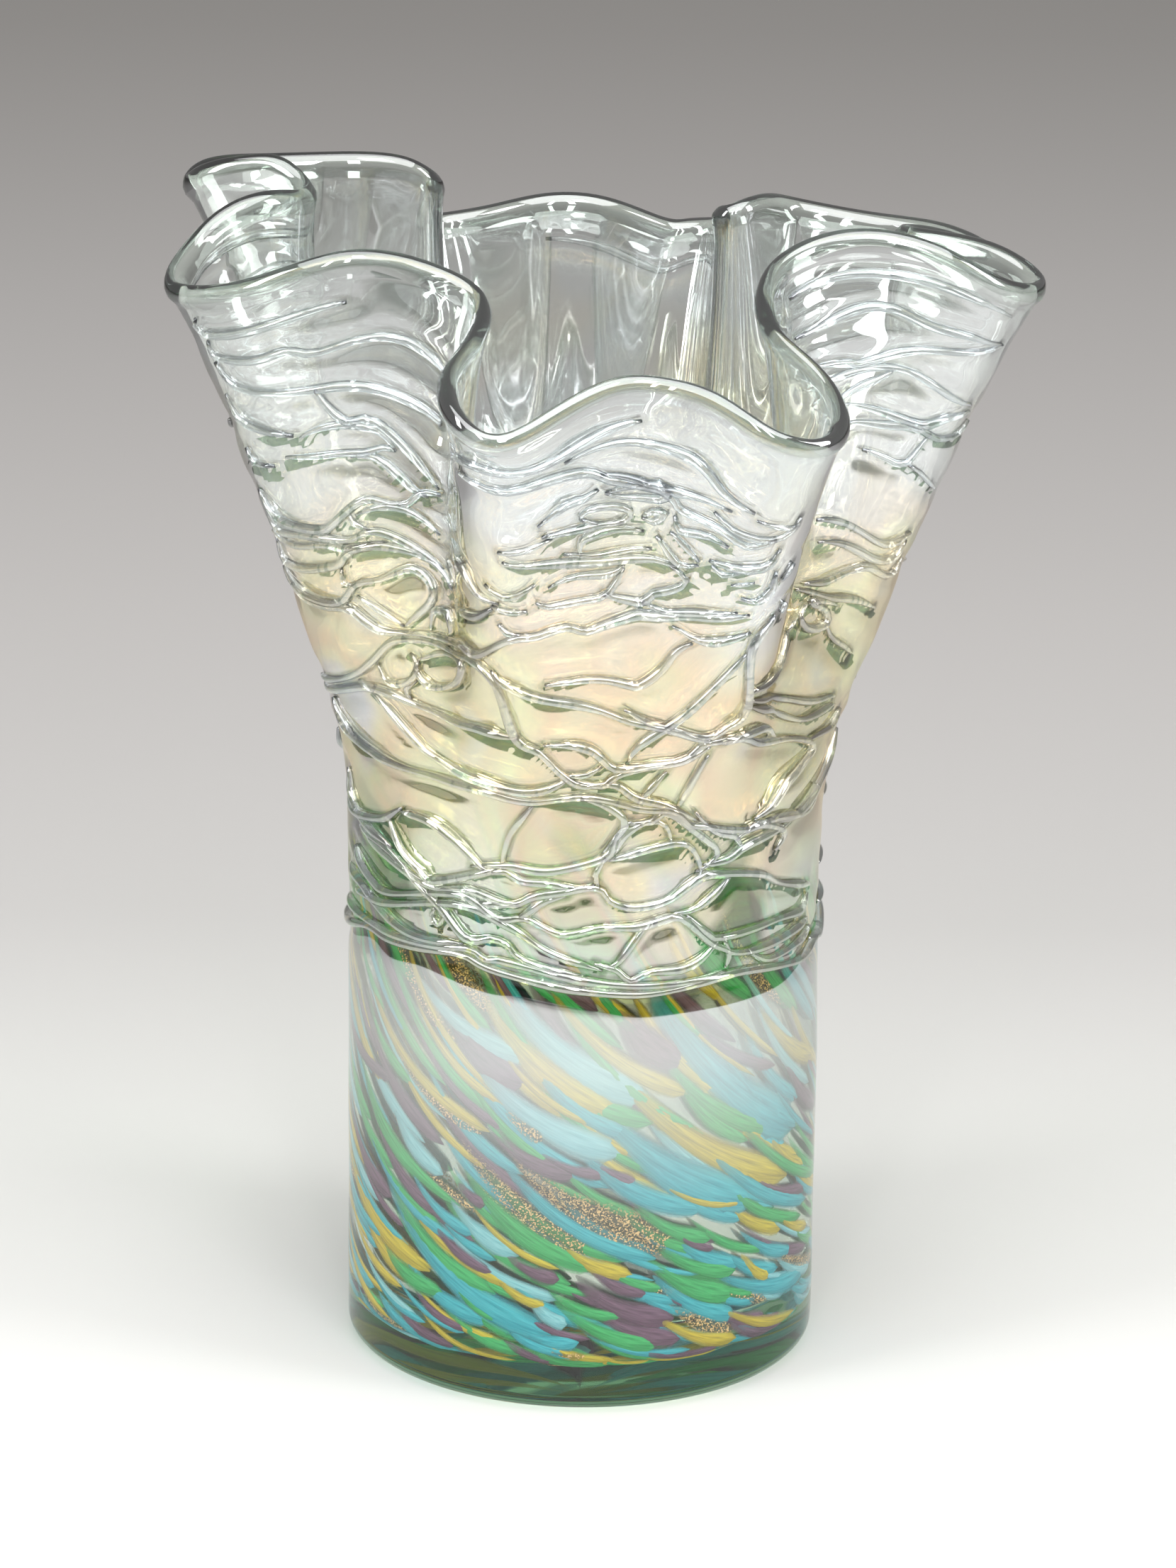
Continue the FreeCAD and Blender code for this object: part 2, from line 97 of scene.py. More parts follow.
# Routes of the trails across the front: azimuth in degrees and height on the wall at each stop, with a
# semicolon between trails
TRAILS = {
    "collar": """
    172 120, 183.5 119, 206 125, 217.5 125, 238.5 127, 249.5 124, 283 119, 309 121, 334 117, 345 119,
    356 119;
    183 126, 223 127, 241 129, 246 127, 252.5 127, 278 122, 298.5 121, 306.5 122;
    195 132, 207.5 133, 224 129, 240 130;
    186 136, 201 136, 211.5 134, 238.5 141, 252.5 137, 261.5 131, 274.5 126;
    194.5 144, 207.5 139, 216.5 138, 239 144, 249.5 139, 256 140, 264.5 136, 274 138, 283 138, 291 140,
    295 138, 300.5 132, 304.5 129, 313 126, 340 127;
    199.5 152, 212 150, 220.5 147, 232.5 140, 241 132, 247.5 133, 251.5 132, 256 128, 271 124;
    215.5 158, 220.5 151, 228 147, 232.5 146, 251.5 155;
    202 152, 217.5 147, 232 144, 241 146, 251.5 144, 255 145, 259.5 148, 272.5 150, 276 146, 280 144,
    285.5 144, 291 146, 298 152, 303.5 152, 317 147, 324.5 142, 342 136;
    221 161, 230 162, 238.5 159, 246 153, 251.5 154, 255 152, 261 152, 268.5 150, 272.5 151;
    258.5 178, 252.5 166, 250 155;
    242 153, 252.5 156, 263 156, 274.5 159, 277 165, 280.5 170;
    275 159, 272.5 154, 273.5 150;
    275.5 158, 289.5 163, 294.5 163, 297.5 158, 298.5 153;
    277 160, 279.5 166, 284.5 170, 288.5 169, 290.5 164;
    291 141, 297.5 142, 307 150;
    295 140, 300.5 134, 304.5 132, 323 132, 335 131, 340 134;
    275.5 127, 278 128, 284 137, 287.5 139;
    272.5 128, 278 126, 281 123, 286 125, 293.5 125, 299 127, 304.5 132;
    249.5 138, 254.5 140, 260.5 146, 266 148;
    299 156, 305.5 156, 311.5 158, 329 158;
    232 139, 231 136, 233 134, 235.5 138;
    295.5 174, 301 167, 307 163, 310 158;
    241 146, 244 143, 255 144;
    305.5 132, 307 126, 306 123;
    313 126, 319.5 122, 329.5 122, 342 124""",
    "waist": """
    194.5 187, 196 183, 201.5 178, 210.5 174, 221.5 173, 250.5 178, 266 179, 282 174, 290 174, 294 170,
    299 169, 311.5 163, 321 162, 334 158, 343.5 161;
    212 190, 225.5 182, 232 180, 247 180, 264.5 184, 266.5 186;
    190.5 192, 205.5 194, 213 198, 219.5 205, 227 209, 236 212, 247 218, 252 217, 253.5 213, 256 200,
    260.5 196, 264.5 188, 269 182, 276.5 181, 281.5 177, 289.5 175, 296.5 171;
    189.5 189, 207.5 191, 231.5 192, 256 200;
    252 220, 253.5 218, 257 217, 261.5 214, 273 204, 280.5 200, 295 199, 298.5 198;
    277.5 204, 284.5 200, 294.5 200, 298.5 204, 302 210, 299.5 231, 303 241;
    299 230, 289.5 205, 281 193, 279 188;
    261.5 198, 266.5 196, 271.5 192, 275 187, 278.5 186, 290 190, 295 198, 302.5 199, 312 190, 336.5 175,
    333 172, 324 170, 318.5 166, 313.5 165;
    266 186, 270.5 185, 273.5 187;
    267 184, 273.5 181, 277 184, 288.5 189, 296 197;
    296 194, 291 175;
    287.5 186, 281.5 175;
    269 178, 275.5 174, 279 169, 274 160;
    192.5 166, 195.5 157, 216.5 150;
    186.5 156, 200 155, 213.5 157, 221 162;
    279.5 169, 285 170, 289.5 173, 302 161, 300.5 156, 297 154;
    325 212, 319 208, 303 215, 302.5 211;
    302.5 212, 332.5 188, 349 184;
    302.5 210, 318.5 194, 333 183, 349 182;
    298.5 198, 304.5 199, 312.5 194, 321 184;
    359 175, 351 165, 340.5 161, 330.5 159, 320.5 161;
    335.5 176, 347.5 176, 354.5 181;
    307.5 161, 312 163, 317 162, 325 156, 322 152""",
    "middle": """
    192 219, 201.5 214, 208 212, 213 208, 218.5 207, 233 213, 242 219, 249 222, 257 234, 262 235,
    266.5 234, 270 230, 275 231, 279 233, 285 234, 297.5 243;
    234.5 213, 241.5 218, 248 220;
    226 203, 234.5 210, 241.5 213, 240 207, 233.5 200, 229 198, 226 200, 226 203;
    214.5 198, 217 194, 222 195, 225 198, 226 202, 224 204;
    224.5 192, 223 194, 226 198;
    208 193, 210.5 191, 214.5 190;
    262.5 218, 277 212, 280.5 212, 284 217, 286.5 224, 289 228;
    285 231, 290.5 230, 298.5 237;
    255 238, 256.5 236, 259 236""",
    "upper": """
    192.5 246, 193.5 242, 196.5 238, 204.5 234, 207.5 235, 214 240, 219.5 240, 223 242, 225.5 246,
    229.5 248;
    192.5 240, 194.5 235, 200 234, 209.5 230, 215 232, 221 232, 231.5 230;
    192 234, 198 231, 204 230, 208.5 228, 212.5 228, 218.5 230;
    192.5 232, 192.5 227, 196 225, 207 224, 210.5 227, 224 230, 230 230, 235 228;
    190.5 223, 197.5 217, 206 214, 210.5 218, 216.5 220, 224.5 226, 229 224, 228.5 219, 222.5 210;
    207.5 223, 207.5 219, 210 218;
    210.5 215, 216 212, 222.5 210;
    229 212, 229.5 217, 231 219, 234.5 221, 236 218, 234.5 215;
    210.5 237, 211.5 234, 215 232;
    212 236, 218 239, 224 240, 230 238;
    250.5 281, 255 284, 262.5 284, 269.5 279, 274 273, 282.5 271, 291.5 273;
    263 270, 267 272, 269.5 271, 271.5 272;
    263.5 266, 269.5 262, 275.5 260;
    269 265, 270 267, 276.5 264, 275.5 261, 272 261, 269 265;
    272.5 270, 275 268, 281 268, 282 270, 280.5 272, 272.5 270;
    278.5 262, 280.5 261, 282 264, 280 264, 278.5 262;
    271.5 276, 282 270, 284.5 266, 291 266, 294.5 265, 298.5 269;
    289 270, 292 268, 297.5 269, 300.5 272, 301.5 276;
    295 274, 301.5 273;
    283.5 264, 284.5 260, 289 262, 292 262;
    283 259, 288 253;
    266.5 257, 272 252, 280.5 253;
    269 254, 269 258, 271 259, 279 258;
    281 257, 285 250, 288 252;
    256.5 263, 259.5 264, 265 264;
    257 260, 262.5 258, 272 250, 281 250, 284.5 249;
    289.5 255, 295.5 258, 298.5 261, 299.5 266;
    253 249, 256.5 248, 262 252;
    262 246, 264 243, 272 239, 274.5 242, 276 247;
    264 249, 267 249, 272 246, 274.5 246, 276 248;
    272.5 240, 275 238, 279.5 237, 281.5 240, 284.5 242, 286.5 246, 283.5 249;
    279.5 237, 283 235, 286.5 236, 295.5 243;
    278 236, 280 234, 282 235;
    240 228, 249 234, 254 242;
    254 243, 260.5 244;
    290 254, 292 253, 294.5 256;
    293.5 251, 297 254;
    295.5 248, 298 248, 300 252, 300 258;
    233.5 240, 246 246, 250.5 243, 255.5 245;
    335.5 233, 350.5 226, 358 232;
    336 227, 347.5 222, 352.5 222, 356 225, 357.5 230;
    332 219, 338 216, 344.5 217, 350 219, 354.5 219, 358 221, 358.5 225;
    302 254, 304 258;
    329 220, 338.5 212, 345.5 210, 355.5 210;
    334 213, 330.5 212, 332 208, 336 205, 339 205, 339 208, 334 213, 343.5 208;
    305.5 243, 305 240;
    325.5 212, 329.5 212;
    339 206, 342.5 200, 351.5 196""",
    "lip": """
    194 294, 194.5 290, 213 290;
    194.5 288, 194.5 284, 200 282, 204.5 282, 209 279, 219.5 282, 224.5 281, 229 278;
    194 282, 195.5 277, 198.5 274, 208 270, 225.5 267, 228.5 265;
    193.5 273, 194 268, 196 265, 203 260;
    207.5 270, 209 265, 212 260, 217 260, 229 249;
    204 259, 207.5 260, 217 258, 220.5 254;
    201 255, 207 253, 214.5 252, 218 254, 220.5 254;
    212 251, 217 251, 224 246, 227 246;
    193.5 258, 194.5 254, 198.5 253;
    249 284, 253 289, 257.5 291, 264.5 288, 269 288, 277.5 290;
    267 285, 282.5 283, 286.5 281, 290 277, 294.5 276;
    332 282, 336 281, 344 284, 350 283, 355.5 286, 359.5 286;
    334.5 272, 340.5 270, 344.5 271, 359.5 286;
    335 270, 338 267, 349 270, 359 269;
    339.5 260, 347 258, 352.5 259, 356 264, 359.5 267;
    338.5 261, 345 266, 347 269;
    340.5 255, 347 255, 352.5 258, 355.5 258, 359.5 261, 361 264;
    344 248, 348.5 247, 352 248, 354.5 258;
    352.5 248, 355 248, 359.5 245;
    332 292, 344.5 292, 355 295, 358.5 294"""}

BACK_STRETCH = 1.1        # the back's runs reach round to meet the front's
SPLITS = 7                # mesh columns between two rim stations
COLUMNS = COUNT * SPLITS
TABLE_LOW = 90.0
TABLE_ROWS = 208
WALL_ROWS = 138
INNER_ROWS = 30


# ---------------------------------------------------------------- the wall's form

def relax(values, passes=AZIMUTH_PASSES):
    """A closed run of values with its short waves smoothed away."""
    for _ in range(passes):
        values = (np.roll(values, 1, 0) + 2 * values + np.roll(values, -1, 0)) / 4
    return values


def dense(stations):
    """A ring of mesh columns on the closed cubic spline through the stations."""
    poles = stations.copy()
    for _ in range(POLE_PASSES):
        poles = (6 * stations - np.roll(poles, 1, 0) - np.roll(poles, -1, 0)) / 4
    found = []
    for step in range(SPLITS):
        f = step / SPLITS
        weights = ((1 - f) ** 3, 3 * f ** 3 - 6 * f * f + 4, -3 * f ** 3 + 3 * f * f + 3 * f + 1, f ** 3)
        found.append(sum(np.roll(poles, 1 - k, 0) * w / 6 for k, w in enumerate(weights)))
    return np.stack(found, 1).reshape(COLUMNS, -1)


def flare(t):
    """How far the wall has opened from cylinder to cone, from 0 at the spring to 1 at the lip."""
    bend = t * t / (2 * FLARE_START) if t < FLARE_START else t - FLARE_START / 2
    return bend / (1 - FLARE_START / 2)


def ruffle(t):
    """How far the wall has moved from the cone to the folded rim, over the same run."""
    fold = max(0.0, (t - FOLD_START) / (1 - FOLD_START)) ** FOLD_POWER
    return (1 - TURN_OUT) * fold + TURN_OUT * t ** TURN_OUT_POWER


RIM_XYZ = np.array(RIM, float)
RIM_AZIMUTHS = np.unwrap(np.arctan2(RIM_XYZ[:, 1], RIM_XYZ[:, 0]))
EVEN = 2 * np.pi * np.arange(COUNT) / COUNT
BASE = EVEN + relax(RIM_AZIMUTHS - EVEN)
RADIAL = np.stack([np.cos(BASE), np.sin(BASE)], 1)
CONE_R = relax(np.hypot(RIM_XYZ[:, 0], RIM_XYZ[:, 1]))[:, None]


def ring(height):
    """Stations of the plain outside wall at one height on the wall."""
    t = (height - SPRING) / (LIP - SPRING)
    if t <= 0:
        return np.column_stack([RADIAL * BODY_R, np.full(COUNT, height)])
    plan = (RADIAL * BODY_R + RADIAL * (CONE_R - BODY_R) * flare(t)
            + (RIM_XYZ[:, :2] - RADIAL * CONE_R) * ruffle(t))
    return np.column_stack([plan, SPRING + (RIM_XYZ[:, 2] - SPRING) * t])


def outward(points):
    """Unit normals of a grid of rings that go anticlockwise, lowest first."""
    across = np.roll(points, -1, 1) - np.roll(points, 1, 1)
    up = np.gradient(points, axis=0)
    normal = np.cross(across, up)
    return normal / np.linalg.norm(normal, axis=2, keepdims=True)


TABLE_HEIGHTS = np.linspace(TABLE_LOW, BEAD[4][0] + 1, TABLE_ROWS)
TABLE_POINTS = np.array([dense(ring(h)) for h in TABLE_HEIGHTS])
TABLE_NORMALS = outward(TABLE_POINTS)
COLUMN_AZIMUTHS = np.unwrap(np.arctan2(TABLE_POINTS[0, :, 1], TABLE_POINTS[0, :, 0]))


def look_up(table, columns, heights):
    """Values of a table of the wall at places given as columns and heights."""
    row = np.clip((heights - TABLE_LOW) / (TABLE_HEIGHTS[1] - TABLE_LOW), 0, TABLE_ROWS - 1.001)
    low, f = row.astype(int), (row % 1)[..., None]
    left, g = np.floor(columns).astype(int), (columns % 1)[..., None]
    here, after = left % COLUMNS, (left + 1) % COLUMNS
    lower = table[low, here] * (1 - g) + table[low, after] * g
    upper = table[low + 1, here] * (1 - g) + table[low + 1, after] * g
    return lower * (1 - f) + upper * f


def columns_of(azimuths):
    """Columns that spring from azimuths in degrees."""
    turn = 2 * np.pi
    start = COLUMN_AZIMUTHS[0]
    angle = start + (np.radians(azimuths) - start) % turn
    return np.interp(angle, np.append(COLUMN_AZIMUTHS, start + turn), np.arange(COLUMNS + 1))


def wall_thickness(heights):
    """Thick in the body, drawn thinner as the neck was blown out."""
    thick = np.clip((THINNING_TOP - heights) / (THINNING_TOP - THINNING_LOW), 0, 1)
    return WALL_T + (BODY_WALL_T - WALL_T) * thick ** 2


# ---------------------------------------------------------------- the trails' routes

TRAIL_STEP = 1.6


def smooth_route(stops):
    """Closely spaced azimuths and heights on a rounded line through a trail's stops."""
    flat = np.array([(math.radians(a) * BODY_R, h) for a, h in stops])
    padded = np.vstack([2 * flat[0] - flat[1], flat, 2 * flat[-1] - flat[-2]])
    rows = []
    for before, a, b, after in zip(padded, padded[1:], padded[2:], padded[3:]):
        steps = max(2, int(np.linalg.norm(b - a) / TRAIL_STEP))
        t = np.arange(steps)[:, None] / steps
        rows.append(0.5 * (2 * a + (b - before) * t + (2 * before - 5 * a + 4 * b - after) * t ** 2
                           + (3 * a - before - 3 * b + after) * t ** 3))
    found = np.vstack(rows + [flat[-1:]])
    return np.column_stack([np.degrees(found[:, 0] / BODY_R), found[:, 1]])


def to_back(stops):
    """A front run's stops turned half way round and stretched a little."""
    return [(90 + (azimuth - 270) * BACK_STRETCH, height) for azimuth, height in stops]


# The middle of the back lobe, which was left almost bare: azimuths as on the front, before turning
BARE_LOBE_AZIMUTH = 275
BARE_LOBE_HALF_WIDTH = 27
BARE_LOBE_LOW = 232
BARE_LOBE_TOP = 282


def on_back_lobe(stops):
    """Whether a run, turned to the back, would lie on the middle of the back lobe."""
    azimuth, height = np.mean(stops, axis=0)
    return (abs(azimuth - BARE_LOBE_AZIMUTH) < BARE_LOBE_HALF_WIDTH
            and BARE_LOBE_LOW < height < BARE_LOBE_TOP)


ROUTES = {}
for band, text in TRAILS.items():
    runs = [rows_of(run) for run in text.split(";")]
    ROUTES[band + "_trails_front"] = [smooth_route(stops) for stops in runs]
    ROUTES[band + "_trails_back"] = [
        smooth_route(to_back(stops)) for stops in runs if not on_back_lobe(stops)]


def all_round(front, back):
    """Heights at every mesh column of a line that runs round the body, from its front and back runs."""
    line = np.vstack([front, back])
    columns = columns_of(line[:, 0])
    order = np.argsort(columns)
    wrapped = np.concatenate([columns[order] - COLUMNS, columns[order], columns[order] + COLUMNS])
    return np.interp(COLUMN_LIST, wrapped, np.tile(line[order, 1], 3))


COLUMN_LIST = np.arange(COLUMNS, dtype=float)
SEAM = all_round(ROUTES["collar_trails_front"][0], ROUTES["collar_trails_back"][0])

# Lower edge of the strip below the lowest trail where the fuming did not take: azimuth and height
BARE_EDGE = rows_of("""
    172 117, 190 117, 206 121.5, 216 119.5, 229 120.5, 247 117.5, 256 117.5, 273 114.5, 283 112.5,
    296 112.5, 314 112.5, 328 113, 345 116, 356 117""")
BARE_FROM = all_round(smooth_route(BARE_EDGE), smooth_route(to_back(BARE_EDGE)))


def wall_at(columns, heights):
    """Points and outward unit normals of the plain outside wall."""
    points = look_up(TABLE_POINTS, columns, heights)
    normals = look_up(TABLE_NORMALS, columns, heights)
    return points, normals / np.linalg.norm(normals, axis=-1, keepdims=True)


PLACES = {name: [wall_at(columns_of(route[:, 0]), route[:, 1]) for route in routes]
          for name, routes in ROUTES.items()}


def trail_finder():
    """A tree of points along every trail, to measure how far the wall is from the nearest."""
    points = np.vstack([points for runs in PLACES.values() for points, _ in runs])
    tree = kdtree.KDTree(len(points))
    for i, point in enumerate(points):
        tree.insert(point, i)
    tree.balance()
    return tree


FINDER = trail_finder()


def nearest_trail(points):
    """Distance from each point to the nearest trail's line, and how far above the point that line is."""
    found = [FINDER.find(point) for point in points.reshape(-1, 3)]
    gap = np.array([distance for _, _, distance in found]).reshape(points.shape[:-1])
    rise = np.array([place.z for place, _, _ in found]).reshape(points.shape[:-1]) - points[..., 2]
    return gap, rise


# ---------------------------------------------------------------- relief of the outside

DENT = 1.3                # the wall draws in beside each trail as it chills
DENT_REACH = 4.6
FILLET = 0.55             # glass drawn up to a trail's side
FILLET_REACH = 1.5
LEVEL_FROM = 296          # the unevenness of the wall dies out below the lip
LEVEL_OVER = 20

# Two values ride on every point of the shells: trail_gap, the distance to a trail, and bare, how far
# inside a place without film it is, in millimetres, negative where the film is whole
NO_TRAIL = 50.0
COVERED = -3.0            # the lowest value of bare, and its opposite the highest
CRESCENT = 2.2            # mean depth of the bare crescents left under trails
CRESCENT_SLOPE = 0.6      # how squarely under a trail a crescent lies
CRESCENT_TOP = 262


def relief(gap):
    """Fillet and dent beside a trail, as a shift of the wall along its normal."""
    return FILLET * np.exp(-(gap / FILLET_REACH) ** 2) - DENT * np.exp(-(gap / DENT_REACH) ** 2)


def waver(azimuths, heights):
    """Slow unevenness left by blowing and turning by hand."""
    return (0.16 * np.sin(3 * azimuths + heights / 31 + 1.0) + 0.11 * np.sin(5 * azimuths - heights / 17)
            + 0.09 * np.sin(heights / 9.5 + 2 * azimuths) + 0.05 * np.sin(9 * azimuths + heights / 6.0))


def outside(columns, heights):
    """Points of the finished outside, with its relief, and the values of trail_gap and bare there."""
    plain, normals = wall_at(columns, heights)
    gap, rise = nearest_trail(plain)
    azimuths = np.arctan2(plain[..., 1], plain[..., 0])
    reach = (CRESCENT + 1.6 * np.sin(4 * azimuths + heights / 13)
             + 1.3 * np.sin(11 * azimuths - heights / 7))
    under = (rise > CRESCENT_SLOPE * gap) & (heights < CRESCENT_TOP)
    bare = np.where(under, reach - gap, COVERED)
    shift = relief(gap) + waver(azimuths, heights) * np.clip((LEVEL_FROM - heights) / LEVEL_OVER, 0, 1)
    return plain + normals * shift[..., None], gap, np.clip(bare, COVERED, -COVERED)


# ---------------------------------------------------------------- meshes

def grid_faces(rows, columns):
    """Quads between rings that run anticlockwise and are stacked so that their faces point outwards."""
    i = np.arange(rows - 1)[:, None] * columns
    j = np.arange(columns)[None, :]
    k = (j + 1) % columns
    return np.stack([i + j, i + k, i + columns + k, i + columns + j], 2).reshape(-1, 4)


def make_piece(name, points, quads, triangles=(), materials=(), slots=None):
    """A smooth-shaded mesh piece from points in millimetres."""
    mesh = bpy.data.meshes.new(name)
    faces = [tuple(f) for f in quads.tolist()] + [tuple(f) for f in triangles]
    mesh.from_pydata((points * MM).tolist(), [], faces)
    for material in materials:
        mesh.materials.append(material)
    if slots is not None:
        mesh.polygons.foreach_set("material_index", np.asarray(slots, np.int32))
    mesh.polygons.foreach_set("use_smooth", np.ones(len(faces), bool))
    mesh.update()
    piece = bpy.data.objects.new(name, mesh)
    bpy.context.scene.collection.objects.link(piece)
    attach(piece, "root")
    return piece


FAR = np.full(COLUMNS, NO_TRAIL)
SKINNED = np.full(COLUMNS, COVERED)
GREEN_LIP = np.full(COLUMNS, 0.12)    # part way to bare, so that the bead shows the glass's green and some painted shade of the bare tint


def layer(points, glassy, gap=FAR, bare=SKINNED):
    """One ring of a shell. A glassy ring shows as glass, others are fused to the neighbouring piece."""
    return points, glassy, gap, bare


def closed_shell(name, layers, materials):
    """A piece through stacked layers, closed by a pole at each end."""
    rings, glassy, gaps, bare = zip(*layers)
    rows = len(rings)
    points = np.vstack([np.asarray(rings).reshape(-1, 3), rings[0].mean(0), rings[-1].mean(0)])
    quads = grid_faces(rows, COLUMNS)
    first, last, top = rows * COLUMNS, rows * COLUMNS + 1, (rows - 1) * COLUMNS
    triangles = [(first, (j + 1) % COLUMNS, j) for j in range(COLUMNS)]
    triangles += [(last, top + j, top + (j + 1) % COLUMNS) for j in range(COLUMNS)]
    bands = [0 if glassy[i] and glassy[i + 1] else 1 for i in range(rows - 1)]
    ends = [0 if glassy[0] else 1, 0 if glassy[-1] else 1]
    piece = make_piece(name, points, quads, triangles, materials, np.repeat(bands + ends, COLUMNS))
    for label, ringed, pole in (("trail_gap", gaps, NO_TRAIL), ("bare", bare, COVERED)):
        values = np.concatenate([np.asarray(ringed, float).reshape(-1), [pole, pole]])
        attribute = piece.data.attributes.new(label, "FLOAT", "POINT")
        attribute.data.foreach_set("value", values.astype(np.float32))
    return piece


def turned(radius, height):
    """A level ring, or one whose height follows the columns."""
    return np.column_stack([np.cos(COLUMN_AZIMUTHS) * radius, np.sin(COLUMN_AZIMUTHS) * radius,
                            np.broadcast_to(height, COLUMNS)])


def corner(radius, low, size, steps=6):
    """Rings of a quarter round from a level bottom up into a wall."""
    angles = np.linspace(0, math.pi / 2, steps + 1)
    return [turned(radius - size * (1 - math.sin(a)), low + size * (1 - math.cos(a))) for a in angles]


def under_wall(heights, depth):
    """A ring at a depth under the plain outside wall."""
    points, normals = wall_at(COLUMN_LIST, heights)
    return points - normals * np.broadcast_to(depth, COLUMNS)[:, None]


JOINT_LOW = FOOT_T + JOINT_CORNER_R
JOINT_SHARES = np.linspace(0.25, 1.0, 4)
BORE_TOP = 110.0          # below this the bore is a plain cylinder
BORE_ROWS = 14
BORE_WAVE = 0.5           # the inside is half as uneven as the outside
SLEEVE_ROWS = 70
SLEEVE_SPREAD = 0.85      # rows get closer towards the seam


def vessel():
    """The bubble: bore, floor and ruffled neck. Below the seam its outside is fused to the casing."""
    layers = [layer(turned(radius, FOOT_T), False) for radius in (8.0, 30.0)]
    layers += [layer(points, False) for points in corner(JOINT_R, FOOT_T, JOINT_CORNER_R)]
    layers += [layer(turned(JOINT_R, JOINT_LOW + (SEAM - JOINT_LOW) * share), False)
               for share in JOINT_SHARES]
    shares = np.linspace(0, 1, WALL_ROWS)[:, None]
    heights = SEAM[None, :] + (LIP_TOP - SEAM[None, :]) * shares
    wall = outside(np.broadcast_to(COLUMN_LIST, heights.shape), heights)
    layers += [layer(points, True, gap, bare) for points, gap, bare in zip(*wall)]
    for height, depth in BEAD:
        layers.append(layer(under_wall(np.full(COLUMNS, height), depth), True, FAR, GREEN_LIP))
    for height in np.linspace(BEAD[-1][0], BORE_TOP, INNER_ROWS)[1:]:
        level = np.full(COLUMNS, height)
        wave = BORE_WAVE * waver(COLUMN_AZIMUTHS, level + 40)
        wave = wave * np.clip((height - BORE_TOP) / 20, 0, 1)
        layers.append(layer(under_wall(level, wall_thickness(level) + wave), True))
    for height in np.linspace(BORE_TOP - 4, FLOOR_Z + BORE_CORNER_R + 4, BORE_ROWS):
        layers.append(layer(turned(BORE_R, height), True))
    layers += [layer(points, True) for points in corner(BORE_R, FLOOR_Z, BORE_CORNER_R)[::-1]]
    layers += [layer(turned(radius, FLOOR_Z), True) for radius in (36.0, 18.0, 4.0)]
    return closed_shell("vessel", layers, [CLEAR_GLASS, FUSED_JOINT])


def casing():
    """The outer gather: thick clear foot and the sleeve over the coloured chips, up to the seam."""
    layers = [layer(turned(radius, 0.0), True) for radius in (8.0, 30.0, 50.0)]
    layers += [layer(points, True) for points in corner(BODY_R, 0.0, FOOT_CORNER_R, 8)]
    shares = (np.linspace(0, 1, SLEEVE_ROWS)[1:] ** SLEEVE_SPREAD)[:, None]
    heights = FOOT_CORNER_R + (SEAM[None, :] - FOOT_CORNER_R) * shares
    columns = np.broadcast_to(COLUMN_LIST, heights.shape)
    outer, gap, bare = outside(columns, np.maximum(heights, TABLE_LOW))
    outer[..., 2] = heights
    # Below the trails the sleeve is a plain cylinder with the same unevenness
    plain = np.stack([turned(BODY_R, row) for row in heights])
    wobble = waver(COLUMN_AZIMUTHS[None, :], heights) * np.clip((heights - FOOT_CORNER_R) / 10, 0, 1)
    sideways = np.concatenate([plain[..., :2], np.zeros(heights.shape + (1,))], 2) / BODY_R
    trailed = heights > TABLE_LOW
    outer = np.where(trailed[..., None], outer, plain + sideways * wobble[..., None])
    gap = np.where(trailed, gap, NO_TRAIL)
    strip = np.clip(heights - BARE_FROM, COVERED, -COVERED)
    bare = np.maximum(np.where(trailed, bare, COVERED), strip)
    layers += [layer(points, True, near, open_skin) for points, near, open_skin in zip(outer, gap, bare)]
    layers += [layer(turned(JOINT_R, JOINT_LOW + (SEAM - JOINT_LOW) * share), False)
               for share in JOINT_SHARES[::-1]]
    layers += [layer(points, False) for points in corner(JOINT_R, FOOT_T, JOINT_CORNER_R)[::-1]]
    layers += [layer(turned(radius, FOOT_T), False) for radius in (30.0, 8.0)]
    return closed_shell("casing_glass", layers, [CASED_GLASS, FUSED_JOINT])


TRAIL_W = 1.3
TRAIL_H = 1.9
TRAIL_SUNK = 0.55
TRAIL_SIDES = 10
TRAIL_TAPER = 9.0         # run over which an end thins


def trail_rows(points, normals, phase):
    """Rings of a tapering half-sunk thread along the wall."""
    along = np.gradient(points, axis=0)
    along /= np.linalg.norm(along, axis=1, keepdims=True)
    side = np.cross(along, normals)
    side /= np.linalg.norm(side, axis=1, keepdims=True)
    count = len(points)
    run = np.arange(count) * TRAIL_STEP
    ends = np.minimum(run, run[::-1])
    size = np.clip(0.35 + 0.65 * np.sin(np.clip(ends / TRAIL_TAPER, 0, 1) * math.pi / 2), 0, 1)
    size = size * (1 + 0.14 * np.sin(run / 7.3 + phase) + 0.08 * np.sin(run / 3.1 + 2 * phase))
    base = points + normals * relief(0.0)
    rows = []
    for k in range(TRAIL_SIDES):
        angle = 2 * math.pi * k / TRAIL_SIDES
        x, y = math.cos(angle) * TRAIL_W, math.sin(angle)
        rise = y * TRAIL_H if y > 0 else y * TRAIL_SUNK
        rows.append(base + side * (x * size)[:, None] + normals * (rise * size)[:, None])
    return np.stack(rows, 1)


